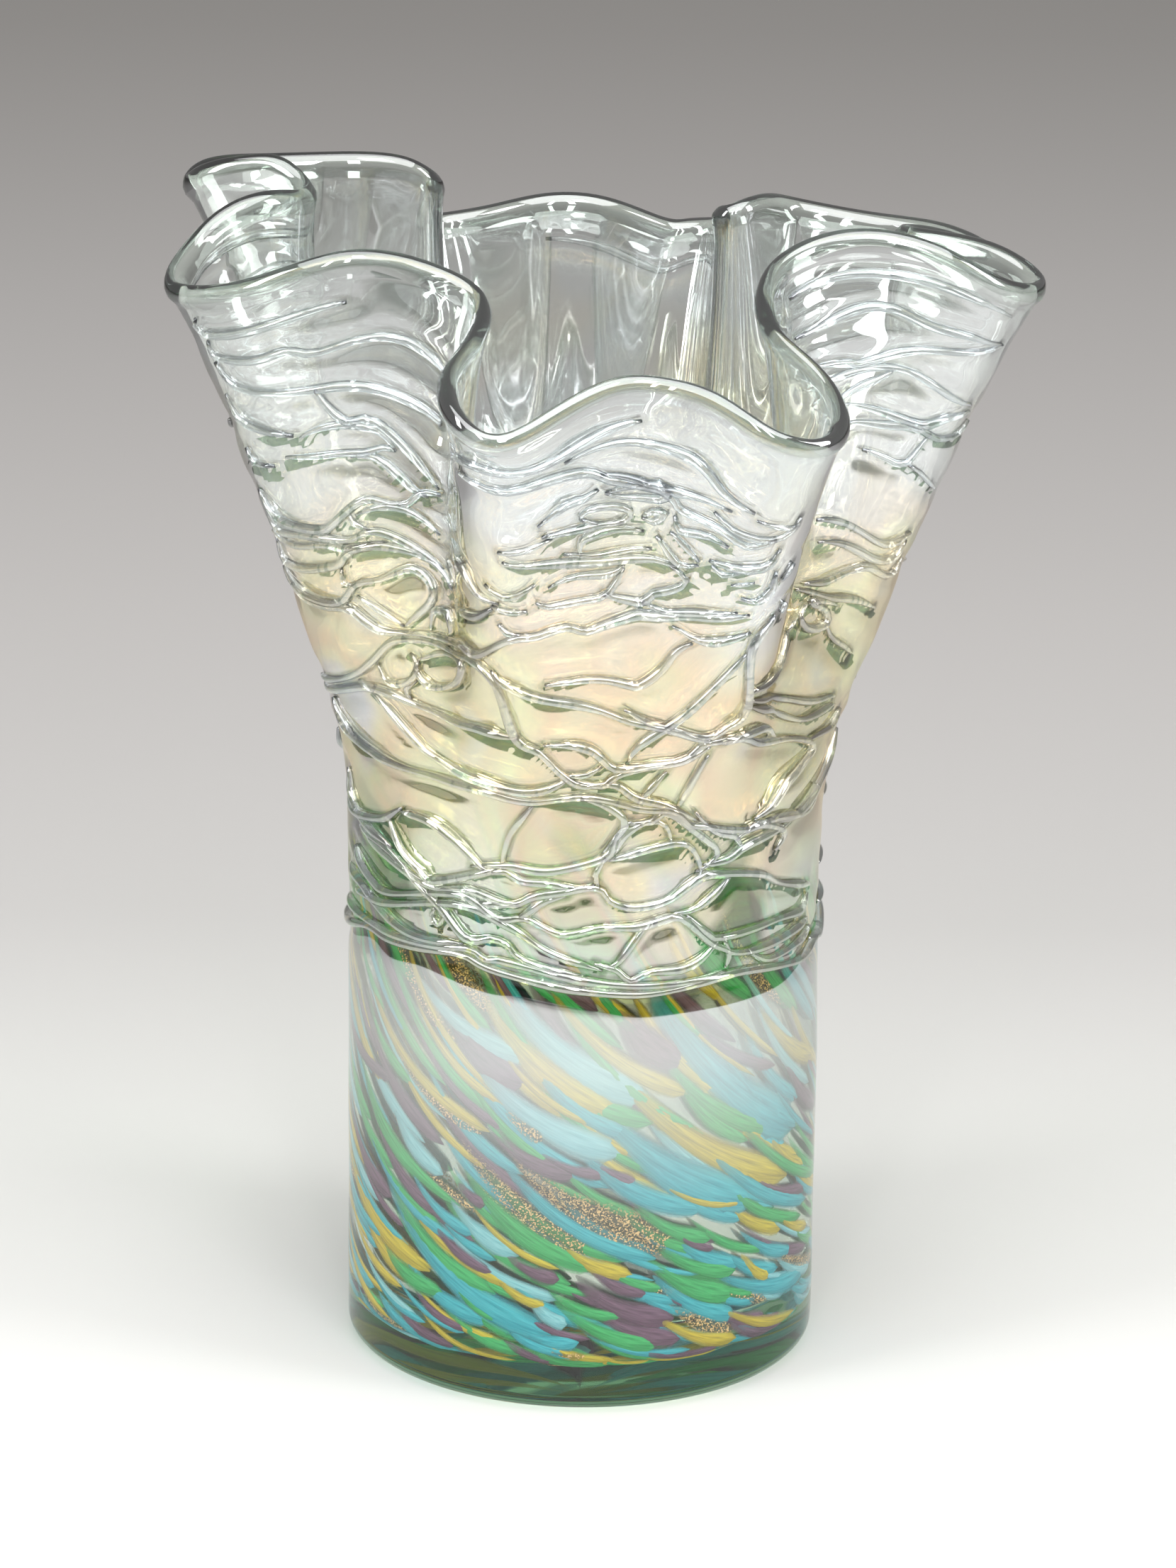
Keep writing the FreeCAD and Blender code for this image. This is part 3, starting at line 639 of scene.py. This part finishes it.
def trail_group(name, runs):
    """All the threads of one band on one side, as one piece of separate closed tubes."""
    points, quads, triangles, start = [], [], [], 0
    for order, (line, normals) in enumerate(runs):
        rows = trail_rows(line, normals, 1.7 * order)
        count = len(rows)
        points += [rows.reshape(-1, 3), rows[0].mean(0)[None], rows[-1].mean(0)[None]]
        quads.append(grid_faces(count, TRAIL_SIDES)[:, ::-1] + start)
        head = start + count * TRAIL_SIDES
        tail, top = head + 1, head - TRAIL_SIDES
        for j in range(TRAIL_SIDES):
            k = (j + 1) % TRAIL_SIDES
            triangles.append((head, start + j, start + k))
            triangles.append((tail, top + k, top + j))
        start = tail + 1
    piece = make_piece(name, np.vstack(points), np.vstack(quads), triangles, [TRAIL_GLASS])
    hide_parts(name)
    return piece


# ---------------------------------------------------------------- glass

GREEN_DENSITY = 13.0


def hue(code):
    """Linear colour from an sRGB hex value."""
    parts = [int(code[i:i + 2], 16) / 255 for i in (1, 3, 5)]
    linear = [p / 12.92 if p <= 0.04045 else ((p + 0.055) / 1.055) ** 2.4 for p in parts]
    return (*linear, 1.0)


def put(tree, kind, links=None, **settings):
    """Adds a node. Each link is a socket or a plain value for the input of that name or number."""
    made = tree.nodes.new("ShaderNode" + kind)
    for name, value in settings.items():
        setattr(made, name, value)
    for name, value in (links or {}).items():
        if isinstance(value, bpy.types.NodeSocket):
            tree.links.new(value, made.inputs[name])
        else:
            made.inputs[name].default_value = value
    return made


def new_material(name):
    material = bpy.data.materials.new(name)
    material.use_nodes = True
    material.node_tree.nodes.clear()
    return material, material.node_tree


def finish_material(tree, surface, volume=None):
    sockets = {"Surface": surface}
    if volume is not None:
        sockets["Volume"] = volume
    put(tree, "OutputMaterial", sockets)


def lets_light_through(tree, shader):
    """Shadow rays pass straight through, so that the glass lights what it holds."""
    shadow = put(tree, "LightPath").outputs["Is Shadow Ray"]
    clear = put(tree, "BsdfTransparent", {"Color": (0.97, 0.98, 0.97, 1)})
    return put(tree, "MixShader", {0: shadow, 1: shader, 2: clear.outputs[0]}).outputs[0]


def green_depth(tree, density):
    """Soda-lime glass is faintly green where light runs a long way through it."""
    return put(tree, "VolumeAbsorption", {"Color": hue("#3FCB78"), "Density": density}).outputs[0]


def spread(tree, value, low, high, to_low, to_high):
    """A value moved from one range to another, clamped."""
    return put(tree, "MapRange", {0: value, 1: low, 2: high, 3: to_low, 4: to_high}).outputs[0]


def times(tree, value, other):
    """Two values multiplied."""
    return put(tree, "Math", {0: value, 1: other}, operation="MULTIPLY").outputs[0]


def blend(tree, share, first, second):
    """The first colour going over to the second by a share."""
    return put(tree, "MixRGB", {0: share, 1: first, 2: second}).outputs[0]


def ramp_of(tree, value, stops):
    """A colour ramp with stops given as place and colour, the colour as a hex code or a plain grey share."""
    made = put(tree, "ValToRGB", {0: value})
    line = made.color_ramp.elements
    for place, _ in stops[1:-1]:
        line.new(place)
    for element, (place, tint) in zip(line, stops):
        element.position = place
        element.color = hue(tint) if isinstance(tint, str) else (tint, tint, tint, 1.0)
    return made.outputs[0]


CLEAR = (0.985, 0.995, 0.985, 1)
FRIT_TWIST = 9.0          # radians of twist to a metre of height
FRIT_SQUEEZE = 0.3        # makes the patches taller than wide


def stretched_frit(tree):
    """Frit thinned to a pale stain where the bubble was blown wide: soft patches, drawn upwards by the
    twist, that die out upwards."""
    place = put(tree, "TexCoord").outputs["Object"]
    height = put(tree, "SeparateXYZ", {0: place}).outputs["Z"]
    straight = put(tree, "VectorRotate", {"Vector": place, "Angle": times(tree, height, FRIT_TWIST)},
                   rotation_type="Z_AXIS").outputs[0]
    drawn = put(tree, "Mapping", {"Vector": straight, "Scale": (1, 1, FRIT_SQUEEZE)}).outputs[0]
    patch = put(tree, "TexVoronoi", {"Vector": drawn, "Scale": 34.0, "Randomness": 1.0},
                feature="SMOOTH_F1")
    shade = put(tree, "SeparateColor", {0: patch.outputs["Color"]}).outputs[0]
    colour = ramp_of(tree, shade, (
        (0.0, "#D2F0C8"), (0.28, "#FFFFFF"), (0.38, "#5FBF56"), (0.50, "#E6D468"), (0.60, "#C8EAB4"),
        (0.68, "#6FC4D2"), (0.76, "#A87888"), (0.84, "#74C668")))
    return blend(tree, spread(tree, height, 128 * MM, 225 * MM, 1.0, 0.0), CLEAR, colour)


RAMP_TOP = 320.0          # height, in millimetres, at the end of a skin's ramp
SKIN_TO_BARE = 0.35       # bare goes over to the glass's own colour by this


def iridised(name, skin, pearls, high_pearl, bare_shaded_tint, body_colour=CLEAR, stained=False, beside=0.3):
    """Blown soda-lime glass fumed with tin while hot: a clear body whose outer skin is a thin film that
    mirrors what it faces in pale pearl colours.

    skin is how much it mirrors at heights in millimetres, beside the share of that left close to a trail,
    bare_shaded_tint the colour where the film is missing: partly the glass's own green, partly painted
    shade that darkens the bare windows and strip. Stained glass has traces of frit, and green
    patches without film low on the neck.
    """
    material, tree = new_material(name)
    place = put(tree, "TexCoord").outputs["Object"]
    where = put(tree, "SeparateXYZ", {0: place})
    height = where.outputs["Z"]

    # The film's colour: patchy, palest below the flare and cooler towards the lip
    cloud = put(tree, "TexNoise", {"Vector": place, "Scale": 22.0, "Detail": 2.0, "Roughness": 0.45})
    cloud = cloud.outputs[0]
    spots = [(0.30 + 0.40 * i / (len(pearls) - 1), pearl) for i, pearl in enumerate(pearls)]
    tint = ramp_of(tree, cloud, spots)
    patchy = put(tree, "Math", {0: cloud, 1: 0.16, 2: height}, operation="MULTIPLY_ADD").outputs[0]
    tint = blend(tree, spread(tree, patchy, 290 * MM, 345 * MM, 0.0, 1.0), tint, hue(high_pearl))
    tint = blend(tree, spread(tree, patchy, 205 * MM, 245 * MM, 0.8, 0.0), tint, hue("#F6FBF8"))

    # How much the film mirrors: by height, less beside trails, none where bare, more on the fumed side
    level = spread(tree, height, 0.0, RAMP_TOP * MM, 0.0, 1.0)
    mirror = ramp_of(tree, level, [(z / RAMP_TOP, share) for z, share in skin])
    gap = put(tree, "Attribute", attribute_name="trail_gap").outputs["Fac"]
    bare = put(tree, "Attribute", attribute_name="bare").outputs["Fac"]
    share = times(tree, mirror, spread(tree, gap, 1.0, 2.2, beside, 1.0))
    share = times(tree, share, spread(tree, bare, 0.0, SKIN_TO_BARE, 1.0, 0.0))
    share = times(tree, share, spread(tree, where.outputs["X"], -95 * MM, -25 * MM, 0.72, 1.08))

    # Where the film is missing the glass takes the bare tint: painted shade in the bare windows and strip,
    # with some of the glass's green
    through = blend(tree, spread(tree, bare, 0.0, SKIN_TO_BARE, 0.0, 1.0),
                    stretched_frit(tree) if stained else body_colour, hue(bare_shaded_tint))
    if stained:
        patch = put(tree, "TexNoise", {"Vector": place, "Scale": 26.0, "Detail": 1.0}).outputs[0]
        green = times(tree, spread(tree, patch, 0.54, 0.60, 0.0, 0.7),
                      spread(tree, height, 146 * MM, 172 * MM, 1.0, 0.0))
        film_left = put(tree, "Math", {0: 1.0, 1: green}, operation="SUBTRACT").outputs[0]
        share = times(tree, share, film_left)
        through = blend(tree, green, through, hue("#78C46A"))
    body = put(tree, "BsdfPrincipled", {
        "Base Color": through, "Roughness": 0.0, "IOR": 1.5, "Transmission Weight": 1.0})
    film = put(tree, "BsdfGlossy", {"Color": tint, "Roughness": 0.04})
    skinned = put(tree, "MixShader", {0: share, 1: body.outputs[0], 2: film.outputs[0]}).outputs[0]
    finish_material(tree, lets_light_through(tree, skinned), green_depth(tree, GREEN_DENSITY))
    return material


def fused_joint():
    """Where two gathers of the same glass have fused, light goes straight on."""
    material, tree = new_material("fused_joint")
    finish_material(tree, put(tree, "BsdfTransparent").outputs[0])
    return material


# Painted light: the chips glow, as a share of their colour, standing in for light that the thick foot
# carries to the underside
CHIP_GLOW = 0.16
GLOW_FULL_BELOW = 13.0
GLOW_NONE_ABOVE = 20.0


def chip_glass(name, colour, dark, sparkle=False):
    """Opaque coloured frit picked up on the hot bubble: melted flat, drawn out, thin at its tail and edges.
    A sparkling one is clear glass full of copper flakes. Low on the bubble the chips glow with painted
    light."""
    material, tree = new_material(name)
    place = put(tree, "TexCoord").outputs["Object"]
    height = put(tree, "SeparateXYZ", {0: place}).outputs["Z"]
    along = put(tree, "UVMap", uv_map="drawn").outputs[0]
    uv = put(tree, "SeparateXYZ", {0: along})
    drawn = put(tree, "Mapping", {"Vector": along, "Scale": (1.2, 2.2, 1)}).outputs[0]
    cloud = put(tree, "TexNoise", {"Vector": drawn, "Scale": 2.6, "Detail": 4.0, "Roughness": 0.6})
    tone = blend(tree, spread(tree, cloud.outputs[0], 0.35, 0.68, 0.0, 1.0), hue(colour), hue(dark))
    across = put(tree, "Math", {0: uv.outputs["Y"]}, operation="ABSOLUTE").outputs[0]
    cover = times(tree, spread(tree, uv.outputs["X"], 0.0, 0.45, 0.25, 0.96),
                  spread(tree, across, 0.45, 1.0, 1.0, 0.0))
    # Painted light: an emission glow on the chips below 20 mm
    glow = spread(tree, height, GLOW_FULL_BELOW * MM, GLOW_NONE_ABOVE * MM, CHIP_GLOW, 0.0)
    painted_glow = blend(tree, glow, (0, 0, 0, 1), tone)
    if sparkle:
        # The copper flakes are real; their bright cells are a painted glint
        flake = put(tree, "TexVoronoi", {"Vector": place, "Scale": 2800.0})
        bright = put(tree, "SeparateColor", {0: flake.outputs["Color"]}).outputs[0]
        glint = spread(tree, bright, 0.74, 0.80, 0.0, 1.0)
        tone = blend(tree, glint, hue(dark), hue(colour))
        cover = times(tree, cover, spread(tree, glint, 0, 1, 0.35, 1.0))
    shade = put(tree, "BsdfPrincipled", {
        "Base Color": tone, "Roughness": 0.8, "Specular IOR Level": 0.0, "Alpha": cover,
        "Emission Color": painted_glow, "Emission Strength": 1.0})
    finish_material(tree, shade.outputs[0])
    return material


# The dark bare tints #8FA893 and #C9CC94 are painted shade; the trails' white one leaves them clear
CLEAR_GLASS = iridised(
    "iridised_clear_glass", ((100, 0.52), (190, 0.54), (225, 0.50), (262, 0.44), (296, 0.28)),
    ("#F4FAF6", "#FFF0D4", "#FDFADC", "#FFE8D0", "#FFF5DA", "#F6F3FF"), "#F8F9FB", "#8FA893", stained=True)
CASED_GLASS = iridised(
    "iridised_casing_glass", ((26, 0.01), (44, 0.03), (60, 0.10), (80, 0.28), (98, 0.46)),
    ("#EAF6FF", "#FFF6F6", "#F0FBFF", "#F4F0FF"), "#EDF3FC", "#C9CC94", (0.955, 0.99, 0.965, 1))
TRAIL_GLASS = iridised(
    "iridised_trail_glass", ((100, 0.38), (165, 0.36), (220, 0.30), (280, 0.24), (310, 0.2)),
    ("#FFFFFF", "#FFF6E8", "#FFFFFF", "#F4F6FF"), "#F4F8FF", "#FFFFFF", beside=1.0)
FUSED_JOINT = fused_joint()

CHIP_COLOURS = {
    "turquoise": ("#5CC2CE", "#2F93A6"),
    "pale_blue": ("#A4D6DE", "#74B4C0"),
    "yellow": ("#E4CA4C", "#A9903A"),
    "green": ("#58C27A", "#358F55"),
    "amethyst": ("#8A6A80", "#5E4856"),
    "copper": ("#F2C892", "#6E5C44")}
CHIP_GLASS = {name: chip_glass(name + "_frit", colour, dark, name == "copper")
              for name, (colour, dark) in CHIP_COLOURS.items()}


# ---------------------------------------------------------------- the coloured chips

CHIP_R = JOINT_R + 0.05
CHIP_T = 0.5
CHIP_STEPS = 12
CHIP_ACROSS = (-1.0, -0.8, -0.45, 0.0, 0.45, 0.8, 1.0)
TAIL_DRAWN = 0.25         # the last of a tail, drawn out as thin as a thread, against the rest of the chip
CHIP_SAG = 0.10           # how far a chip's run bows below a straight line, as a share of its length
CHIP_EDGE = 0.02          # thickness at its very edge

# The larger chips on the front: azimuth and height of the tail, of the head, and the width
LARGE_CHIPS = {
    "yellow": """
        212 106 247 78 4.2, 229 108 251 86 2.8, 252 110 281 84 8.3, 254 99 274 82 2.6, 269 114 297 89 5.1,
        286 93 332 56 8.8, 268 47 283 39 4.6, 294 63 314 54 2.3, 247 53 265 41 2.3, 294 24 313 15 4.2,
        316 37 325 29 4.2, 312 24 340 13 3.7, 289 15 308 12 2, 252 35 262 30 3.2, 278 15 288 13 1.4,
        186 62 230 34 6.5, 325 103 350 84 5.6, 183 34 215 15 3""",
    "turquoise": """
        296 110 335 69 13, 280 84 319 53 11.1, 275 72 302 55 6.5, 258 65 289 43 5.6, 224 49 263 22 7.9,
        293 35 312 22 5.6, 258 22 270 20 4.2, 206 10 238 13 2.3, 262 96 282 79 5.6, 228 58 243 48 3.7,
        277 21 299 15 2.8, 312 34 345 24 5.6, 308 70 345 44 5.1, 186 52 212 38 3.2""",
    "pale_blue": """
        256 115 287 89 10.2, 240 54 255 44 5.6, 220 75 234 63 5.6, 260 30 267 25 5.1, 249 94 280 74 8.3,
        198 13 228 13 2.8, 233 113 258 100 6.5""",
    "green": """
        258 102 288 82 6, 295 97 324 72 5.6, 247 61 274 41 6.9, 222 51 249 32 6.5, 287 57 304 46 4.6,
        293 45 312 35 5.1, 291 41 312 28 6.5, 216 35 234 29 5.6, 266 33 280 27 3.7, 269 29 290 18 5.6,
        260 17 278 12 5.6, 208 101 224 86 3.7, 239 32 251 24 2.8, 318 75 354 48 4.2""",
    "amethyst": """
        230 99 252 79 2.8, 252 76 269 68 5.6, 240 105 256 93 10.2, 190 94 216 85 4.6, 195 67 216 51 5.6,
        217 63 233 52 4.6, 275 71 284 65 4.2, 282 111 295 98 10.2, 301 108 325 90 3.7, 254 43 265 38 4.2,
        274 35 294 25 6.9, 277 28 296 19 5.6, 275 40 287 33 3.7, 288 17 308 14 3.2, 240 61 246 57 3.7,
        254 18 265 14 3.7, 314 19 335 11 5.6, 234 47 248 38 3.7, 296 49 305 43 2.8, 263 73 276 68 3.2,
        320 60 345 48 3.7""",
    "copper": """
        246 70 274 46 8.3, 261 68 295 47 11.1, 296 28 312 18 4.6, 222 93 245 77 3.2, 253 84 261 78 4.6,
        263 18 272 16 1.9"""}


def chip_path(tail, head):
    """Places from a chip's tail down to its head, as arc length round the body and height, and the way
    across."""
    start = np.array([math.radians(tail[0]) * BODY_R, tail[1]])
    end = np.array([math.radians(head[0]) * BODY_R, head[1]])
    run = end - start
    bow = np.array([run[1], -run[0]]) * CHIP_SAG
    share = np.linspace(0, 1, CHIP_STEPS + 1)[:, None]
    path = start + run * (share * (1 + TAIL_DRAWN) - TAIL_DRAWN) + bow * 4 * share * (1 - share)
    along = np.gradient(path, axis=0)
    along /= np.linalg.norm(along, axis=1, keepdims=True)
    return path, np.stack([-along[:, 1], along[:, 0]], 1)


def chip_rows(tail, head, width, lift):
    """The face and back of one chip, as rows from tail to head, and each point's place along and across."""
    path, offset = chip_path(tail, head)
    share = np.linspace(0, 1, CHIP_STEPS + 1)
    half = 0.5 * width * np.clip(share, 0.004, 1) ** 0.5 * np.sqrt(np.clip(1.004 - share ** 7, 0.001, 1))
    half = half * (1 + 0.12 * np.sin(7 * share + 40 * lift))
    face, back, marks = [], [], []
    flat = np.full(len(share), CHIP_R + lift)
    for across in CHIP_ACROSS:
        place = path + offset * (across * half)[:, None]
        azimuths = place[:, 0] / BODY_R
        thick = (CHIP_T * (1 - across * across) * np.clip(share * 4, 0.1, 1)
                 * np.clip((1 - share) * 8, 0.05, 1))
        for rows, radius in ((face, flat + thick + CHIP_EDGE), (back, flat)):
            rows.append(np.stack([np.cos(azimuths) * radius, np.sin(azimuths) * radius, place[:, 1]], 1))
        marks.append(np.stack([share, np.full(len(share), across)], 1))
    return np.stack(face, 1), np.stack(back, 1), np.stack(marks, 1)


def round_the_corner(points):
    """Chips that run off the side's lower end wrap under the bubble's rounded corner to its underside."""
    bend, low = JOINT_CORNER_R, FOOT_T + JOINT_CORNER_R
    radius = np.hypot(points[:, 0], points[:, 1])
    drop = np.maximum(low - points[:, 2], 0)
    angle = np.minimum(drop / bend, math.pi / 2)
    beyond = np.maximum(drop - bend * math.pi / 2, 0)
    depth = bend + radius - JOINT_R
    inner = radius - depth
    new_radius = inner + depth * np.cos(angle) - beyond
    new_height = np.where(drop > 0, low - depth * np.sin(angle), points[:, 2])
    scale = new_radius / radius
    return np.stack([points[:, 0] * scale, points[:, 1] * scale, new_height], 1)


def chip_piece(name, chips):
    """All the chips of one colour, as one piece of separate closed flakes."""
    points, quads, marks, start = [], [], [], 0
    rows, across = CHIP_STEPS + 1, len(CHIP_ACROSS)
    around = np.concatenate([np.arange(across), np.arange(across, 2 * across)[::-1]])
    ring_size = len(around)
    for chip in chips:
        face, back, mark = chip_rows(*chip)
        points.append(np.concatenate([face, back], 1).reshape(-1, 3))
        marks.append(np.concatenate([mark, mark], 1).reshape(-1, 2))
        for i in range(rows - 1):
            low, high = start + i * ring_size, start + (i + 1) * ring_size
            for a, b in zip(around, np.roll(around, -1)):
                quads.append((low + a, high + a, high + b, low + b))
        last = start + (rows - 1) * ring_size
        for k in range(across - 1):
            quads.append((start + k, start + k + 1, start + across + k + 1, start + across + k))
            quads.append((last + k, last + across + k, last + across + k + 1, last + k + 1))
        start += rows * ring_size
    points = round_the_corner(np.vstack(points))
    piece = make_piece("chips_" + name, points, np.array(quads), (), [CHIP_GLASS[name]])
    layer = piece.data.uv_layers.new(name="drawn")
    flat = np.vstack(marks)
    corners = np.zeros(len(piece.data.loops), np.int32)
    piece.data.loops.foreach_get("vertex_index", corners)
    layer.data.foreach_set("uv", flat[corners].astype(np.float32).ravel())
    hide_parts("chips_" + name)
    return piece


FILLER_ODDS = {
    "turquoise": 0.28, "pale_blue": 0.12, "yellow": 0.20, "green": 0.25, "amethyst": 0.11, "copper": 0.04}

# Rings of small chips that fill in behind the large ones: height, how many, length, width
FILLER_RINGS = ((-22.0, 10, 22.0, 16.0), (-8.0, 18, 20.0, 13.0), (2.0, 30, 18.0, 9.0), (9.0, 40, 20.0, 6.0),
                (15.0, 46, 20.0, 5.0), (22.0, 46, 22.0, 5.0), (30.0, 46, 25.0, 5.0), (38.0, 44, 28.0, 5.0),
                (47.0, 42, 32.0, 5.0), (57.0, 40, 35.0, 5.0), (68.0, 38, 38.0, 5.0), (80.0, 34, 42.0, 5.0),
                (92.0, 32, 44.0, 5.0), (104.0, 28, 36.0, 5.5), (114.0, 26, 24.0, 6.0))
SEAM_FILLER = 100.0       # above this only the darker colours were picked up
SEAM_COLOURS = ("green", "yellow", "green", "amethyst", "copper", "green", "amethyst")
BACK_TURN = 172.0         # degrees from a large chip to its like at the back
LARGE_WIDTH = 1.5         # the large chips' widths are of the solid middle; the thin edges add to it

# Wide chips on the bubble's underside, placed as the large ones are; below 9 mm the height runs on inwards
UNDER_CHIPS = {
    "yellow": """
        112 -34 122 4 16, 140 -34 150 4 18, 168 -30 176 4 18, 205 -30 212 4 16, 232 -30 240 4 18,
        250 -34 254 2 10""",
    "amethyst": """
        88 -34 94 4 12, 264 -34 270 4 12""",
    "turquoise": """
        60 -34 66 4 16, 300 -34 306 4 18, 20 -34 28 4 16""",
    "green": """
        40 -34 48 4 16, 326 -34 334 4 16, 0 -34 6 4 16, 280 -32 286 4 12"""}


def drawn_tail(azimuth, height, length):
    """Where the tail of a chip lies, for its head: the twist draws the chips more steeply higher up."""
    steep = math.radians(18.0 + 34.0 * min(1.0, max(0.0, (height - 12.0) / 80.0)))
    return azimuth - math.degrees(length * math.cos(steep) / BODY_R), height + length * math.sin(steep)


def sown_chips():
    """Every chip by colour, as tail, head, width and lift off the bubble: the large ones, the same again
    turned to the back, those under the bubble, and filler behind them all."""
    draw = np.random.default_rng(7)
    sown = {name: [] for name in LARGE_CHIPS}
    for name, chips in LARGE_CHIPS.items():
        for i, (a, low, b, high, width) in enumerate(rows_of(chips)):
            sown[name].append(((a, low), (b, high), width * LARGE_WIDTH, 0.35 + 0.04 * (i % 5)))
            shift = BACK_TURN + draw.uniform(-5, 5)
            drop = draw.uniform(-4, 3)
            sown[name].append(((a + shift, low + drop), (b + shift, high + drop), width * LARGE_WIDTH,
                               0.35 + 0.05 * (i % 4)))
    for name, chips in UNDER_CHIPS.items():
        for a, low, b, high, width in rows_of(chips):
            sown[name].append(((a, low), (b, high), width * LARGE_WIDTH, 0.4))
    names, odds = list(FILLER_ODDS), np.array(list(FILLER_ODDS.values()))
    for ring_number, (height, count, length, width) in enumerate(FILLER_RINGS):
        for i in range(count):
            azimuth = (i + 0.5 * (ring_number % 2) + draw.uniform(-0.35, 0.35)) * 360 / count
            name = names[draw.choice(len(names), p=odds)]
            if height > SEAM_FILLER:
                name = SEAM_COLOURS[i % len(SEAM_COLOURS)]
            head = (azimuth, height + draw.uniform(-4, 4))
            tail = drawn_tail(*head, length * draw.uniform(0.7, 1.35))
            sown[name].append((tail, head, width * draw.uniform(0.6, 1.5), draw.uniform(0.0, 0.3)))
    return sown


# ---------------------------------------------------------------- the studio

SEEN_STRENGTH = 1.25      # the surroundings as the glass mirrors and shows them
LIT_STRENGTH = 0.72       # the surroundings as they light the table and the chips


def studio():
    """A pale seamless table with painted falloff, soft lights, and the camera."""
    bpy.ops.object.select_all(action="DESELECT")
    bpy.ops.mesh.primitive_grid_add(x_subdivisions=2, y_subdivisions=2, size=16.0, location=(0, 0, -0.0002))
    floor = bpy.context.object
    floor.name = "table_sweep"
    material, tree = new_material("seamless_paper")
    place = put(tree, "TexCoord")
    where = put(tree, "SeparateXYZ", {0: place.outputs["Object"]})
    # Painted light falloff: the paper is brightest just in front of the vase and greyer towards the camera
    # and behind
    away = spread(tree, where.outputs["Y"], -1.77, 1.77, 0.0, 1.0)
    painted_falloff = ramp_of(tree, away, ((0.18, "#B4B1AE"), (0.34, "#EEEDEC"), (0.46, "#F4F3F2"), (0.52, "#E8E7E5"),
                                (0.595, "#D2D0CE"), (0.69, "#D2CFCD"), (0.83, "#CDCAC8"), (1.0, "#C2BFBC")))
    paper = put(tree, "BsdfPrincipled", {"Base Color": painted_falloff, "Roughness": 0.9, "Specular IOR Level": 0.1})
    finish_material(tree, paper.outputs[0])
    floor.data.materials.append(material)
    world = bpy.data.worlds.new("studio")
    bpy.context.scene.world = world
    world.use_nodes = True
    world.node_tree.nodes.clear()
    path = put(world.node_tree, "LightPath")
    level = spread(world.node_tree, path.outputs["Is Diffuse Ray"], 0.0, 1.0, SEEN_STRENGTH, LIT_STRENGTH)
    backdrop = put(world.node_tree, "Background", {"Color": (0.30, 0.295, 0.29, 1), "Strength": level})
    put(world.node_tree, "OutputWorld", {"Surface": backdrop.outputs[0]})
    soft_light("overhead", (0.0, -0.75, 1.95), (0, -0.35, 0.0), 2.4, 2.0, 35.0)
    soft_light("left", (-1.6, -0.9, 1.3), (0, 0, 0.15), 0.5, 1.3, 13.0)
    soft_light("right", (1.7, -0.7, 1.2), (0, 0, 0.15), 0.5, 1.3, 12.0)
    soft_light("window", (0.5, -1.2, 2.0), (0, 0, 0.2), 0.35, 0.5, 5.0)
    soft_light("tall_left", (-0.42, -2.0, 1.5), (0, 0, 0.25), 0.16, 0.9, 4.5)
    soft_light("tall_right", (0.30, -2.0, 1.5), (0, 0, 0.25), 0.2, 0.9, 5.0)


def soft_light(name, place, aim, width, height, power):
    lamp = bpy.data.lights.new(name, "AREA")
    lamp.shape = "RECTANGLE"
    lamp.size, lamp.size_y = width, height
    lamp.energy = power
    holder = bpy.data.objects.new(name, lamp)
    holder.location = place
    holder.rotation_euler = (Vector(aim) - Vector(place)).to_track_quat("-Z", "Y").to_euler()
    bpy.context.scene.collection.objects.link(holder)


VIEW_DISTANCE = 1.750
VIEW_RISE = math.radians(18.23)
VIEW_ROLL = math.radians(0.718)
VIEW_AIM = Vector((0.0006, 0.0, 0.1567))
FOCAL_LENGTH = 148.8


def camera():
    ahead = Vector((0, math.cos(VIEW_RISE), -math.sin(VIEW_RISE)))
    right = Vector((1, 0, 0))
    up = right.cross(ahead)
    across = right * math.cos(VIEW_ROLL) + up * math.sin(VIEW_ROLL)
    above = up * math.cos(VIEW_ROLL) - right * math.sin(VIEW_ROLL)
    data = bpy.data.cameras.new("camera")
    data.lens = FOCAL_LENGTH
    data.clip_start = 0.05
    holder = bpy.data.objects.new("camera", data)
    turn = Matrix((across, above, -ahead)).transposed()
    holder.matrix_world = Matrix.Translation(VIEW_AIM - ahead * VIEW_DISTANCE) @ turn.to_4x4()
    bpy.context.scene.collection.objects.link(holder)
    bpy.context.scene.camera = holder


# ---------------------------------------------------------------- putting it together

camera()
studio()
bubble = vessel()
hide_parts("vessel_wall")
sleeve = casing()
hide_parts("casing")
for name, chips in sown_chips().items():
    chip_piece(name, chips)
for name, runs in PLACES.items():
    trail_group(name, runs)

bpy.context.scene.view_settings.view_transform = "Standard"
bpy.context.scene.cycles.transparent_max_bounces = 32
bpy.context.scene.cycles.max_bounces = 20
bpy.context.scene.cycles.transmission_bounces = 20
bpy.context.scene.cycles.glossy_bounces = 8
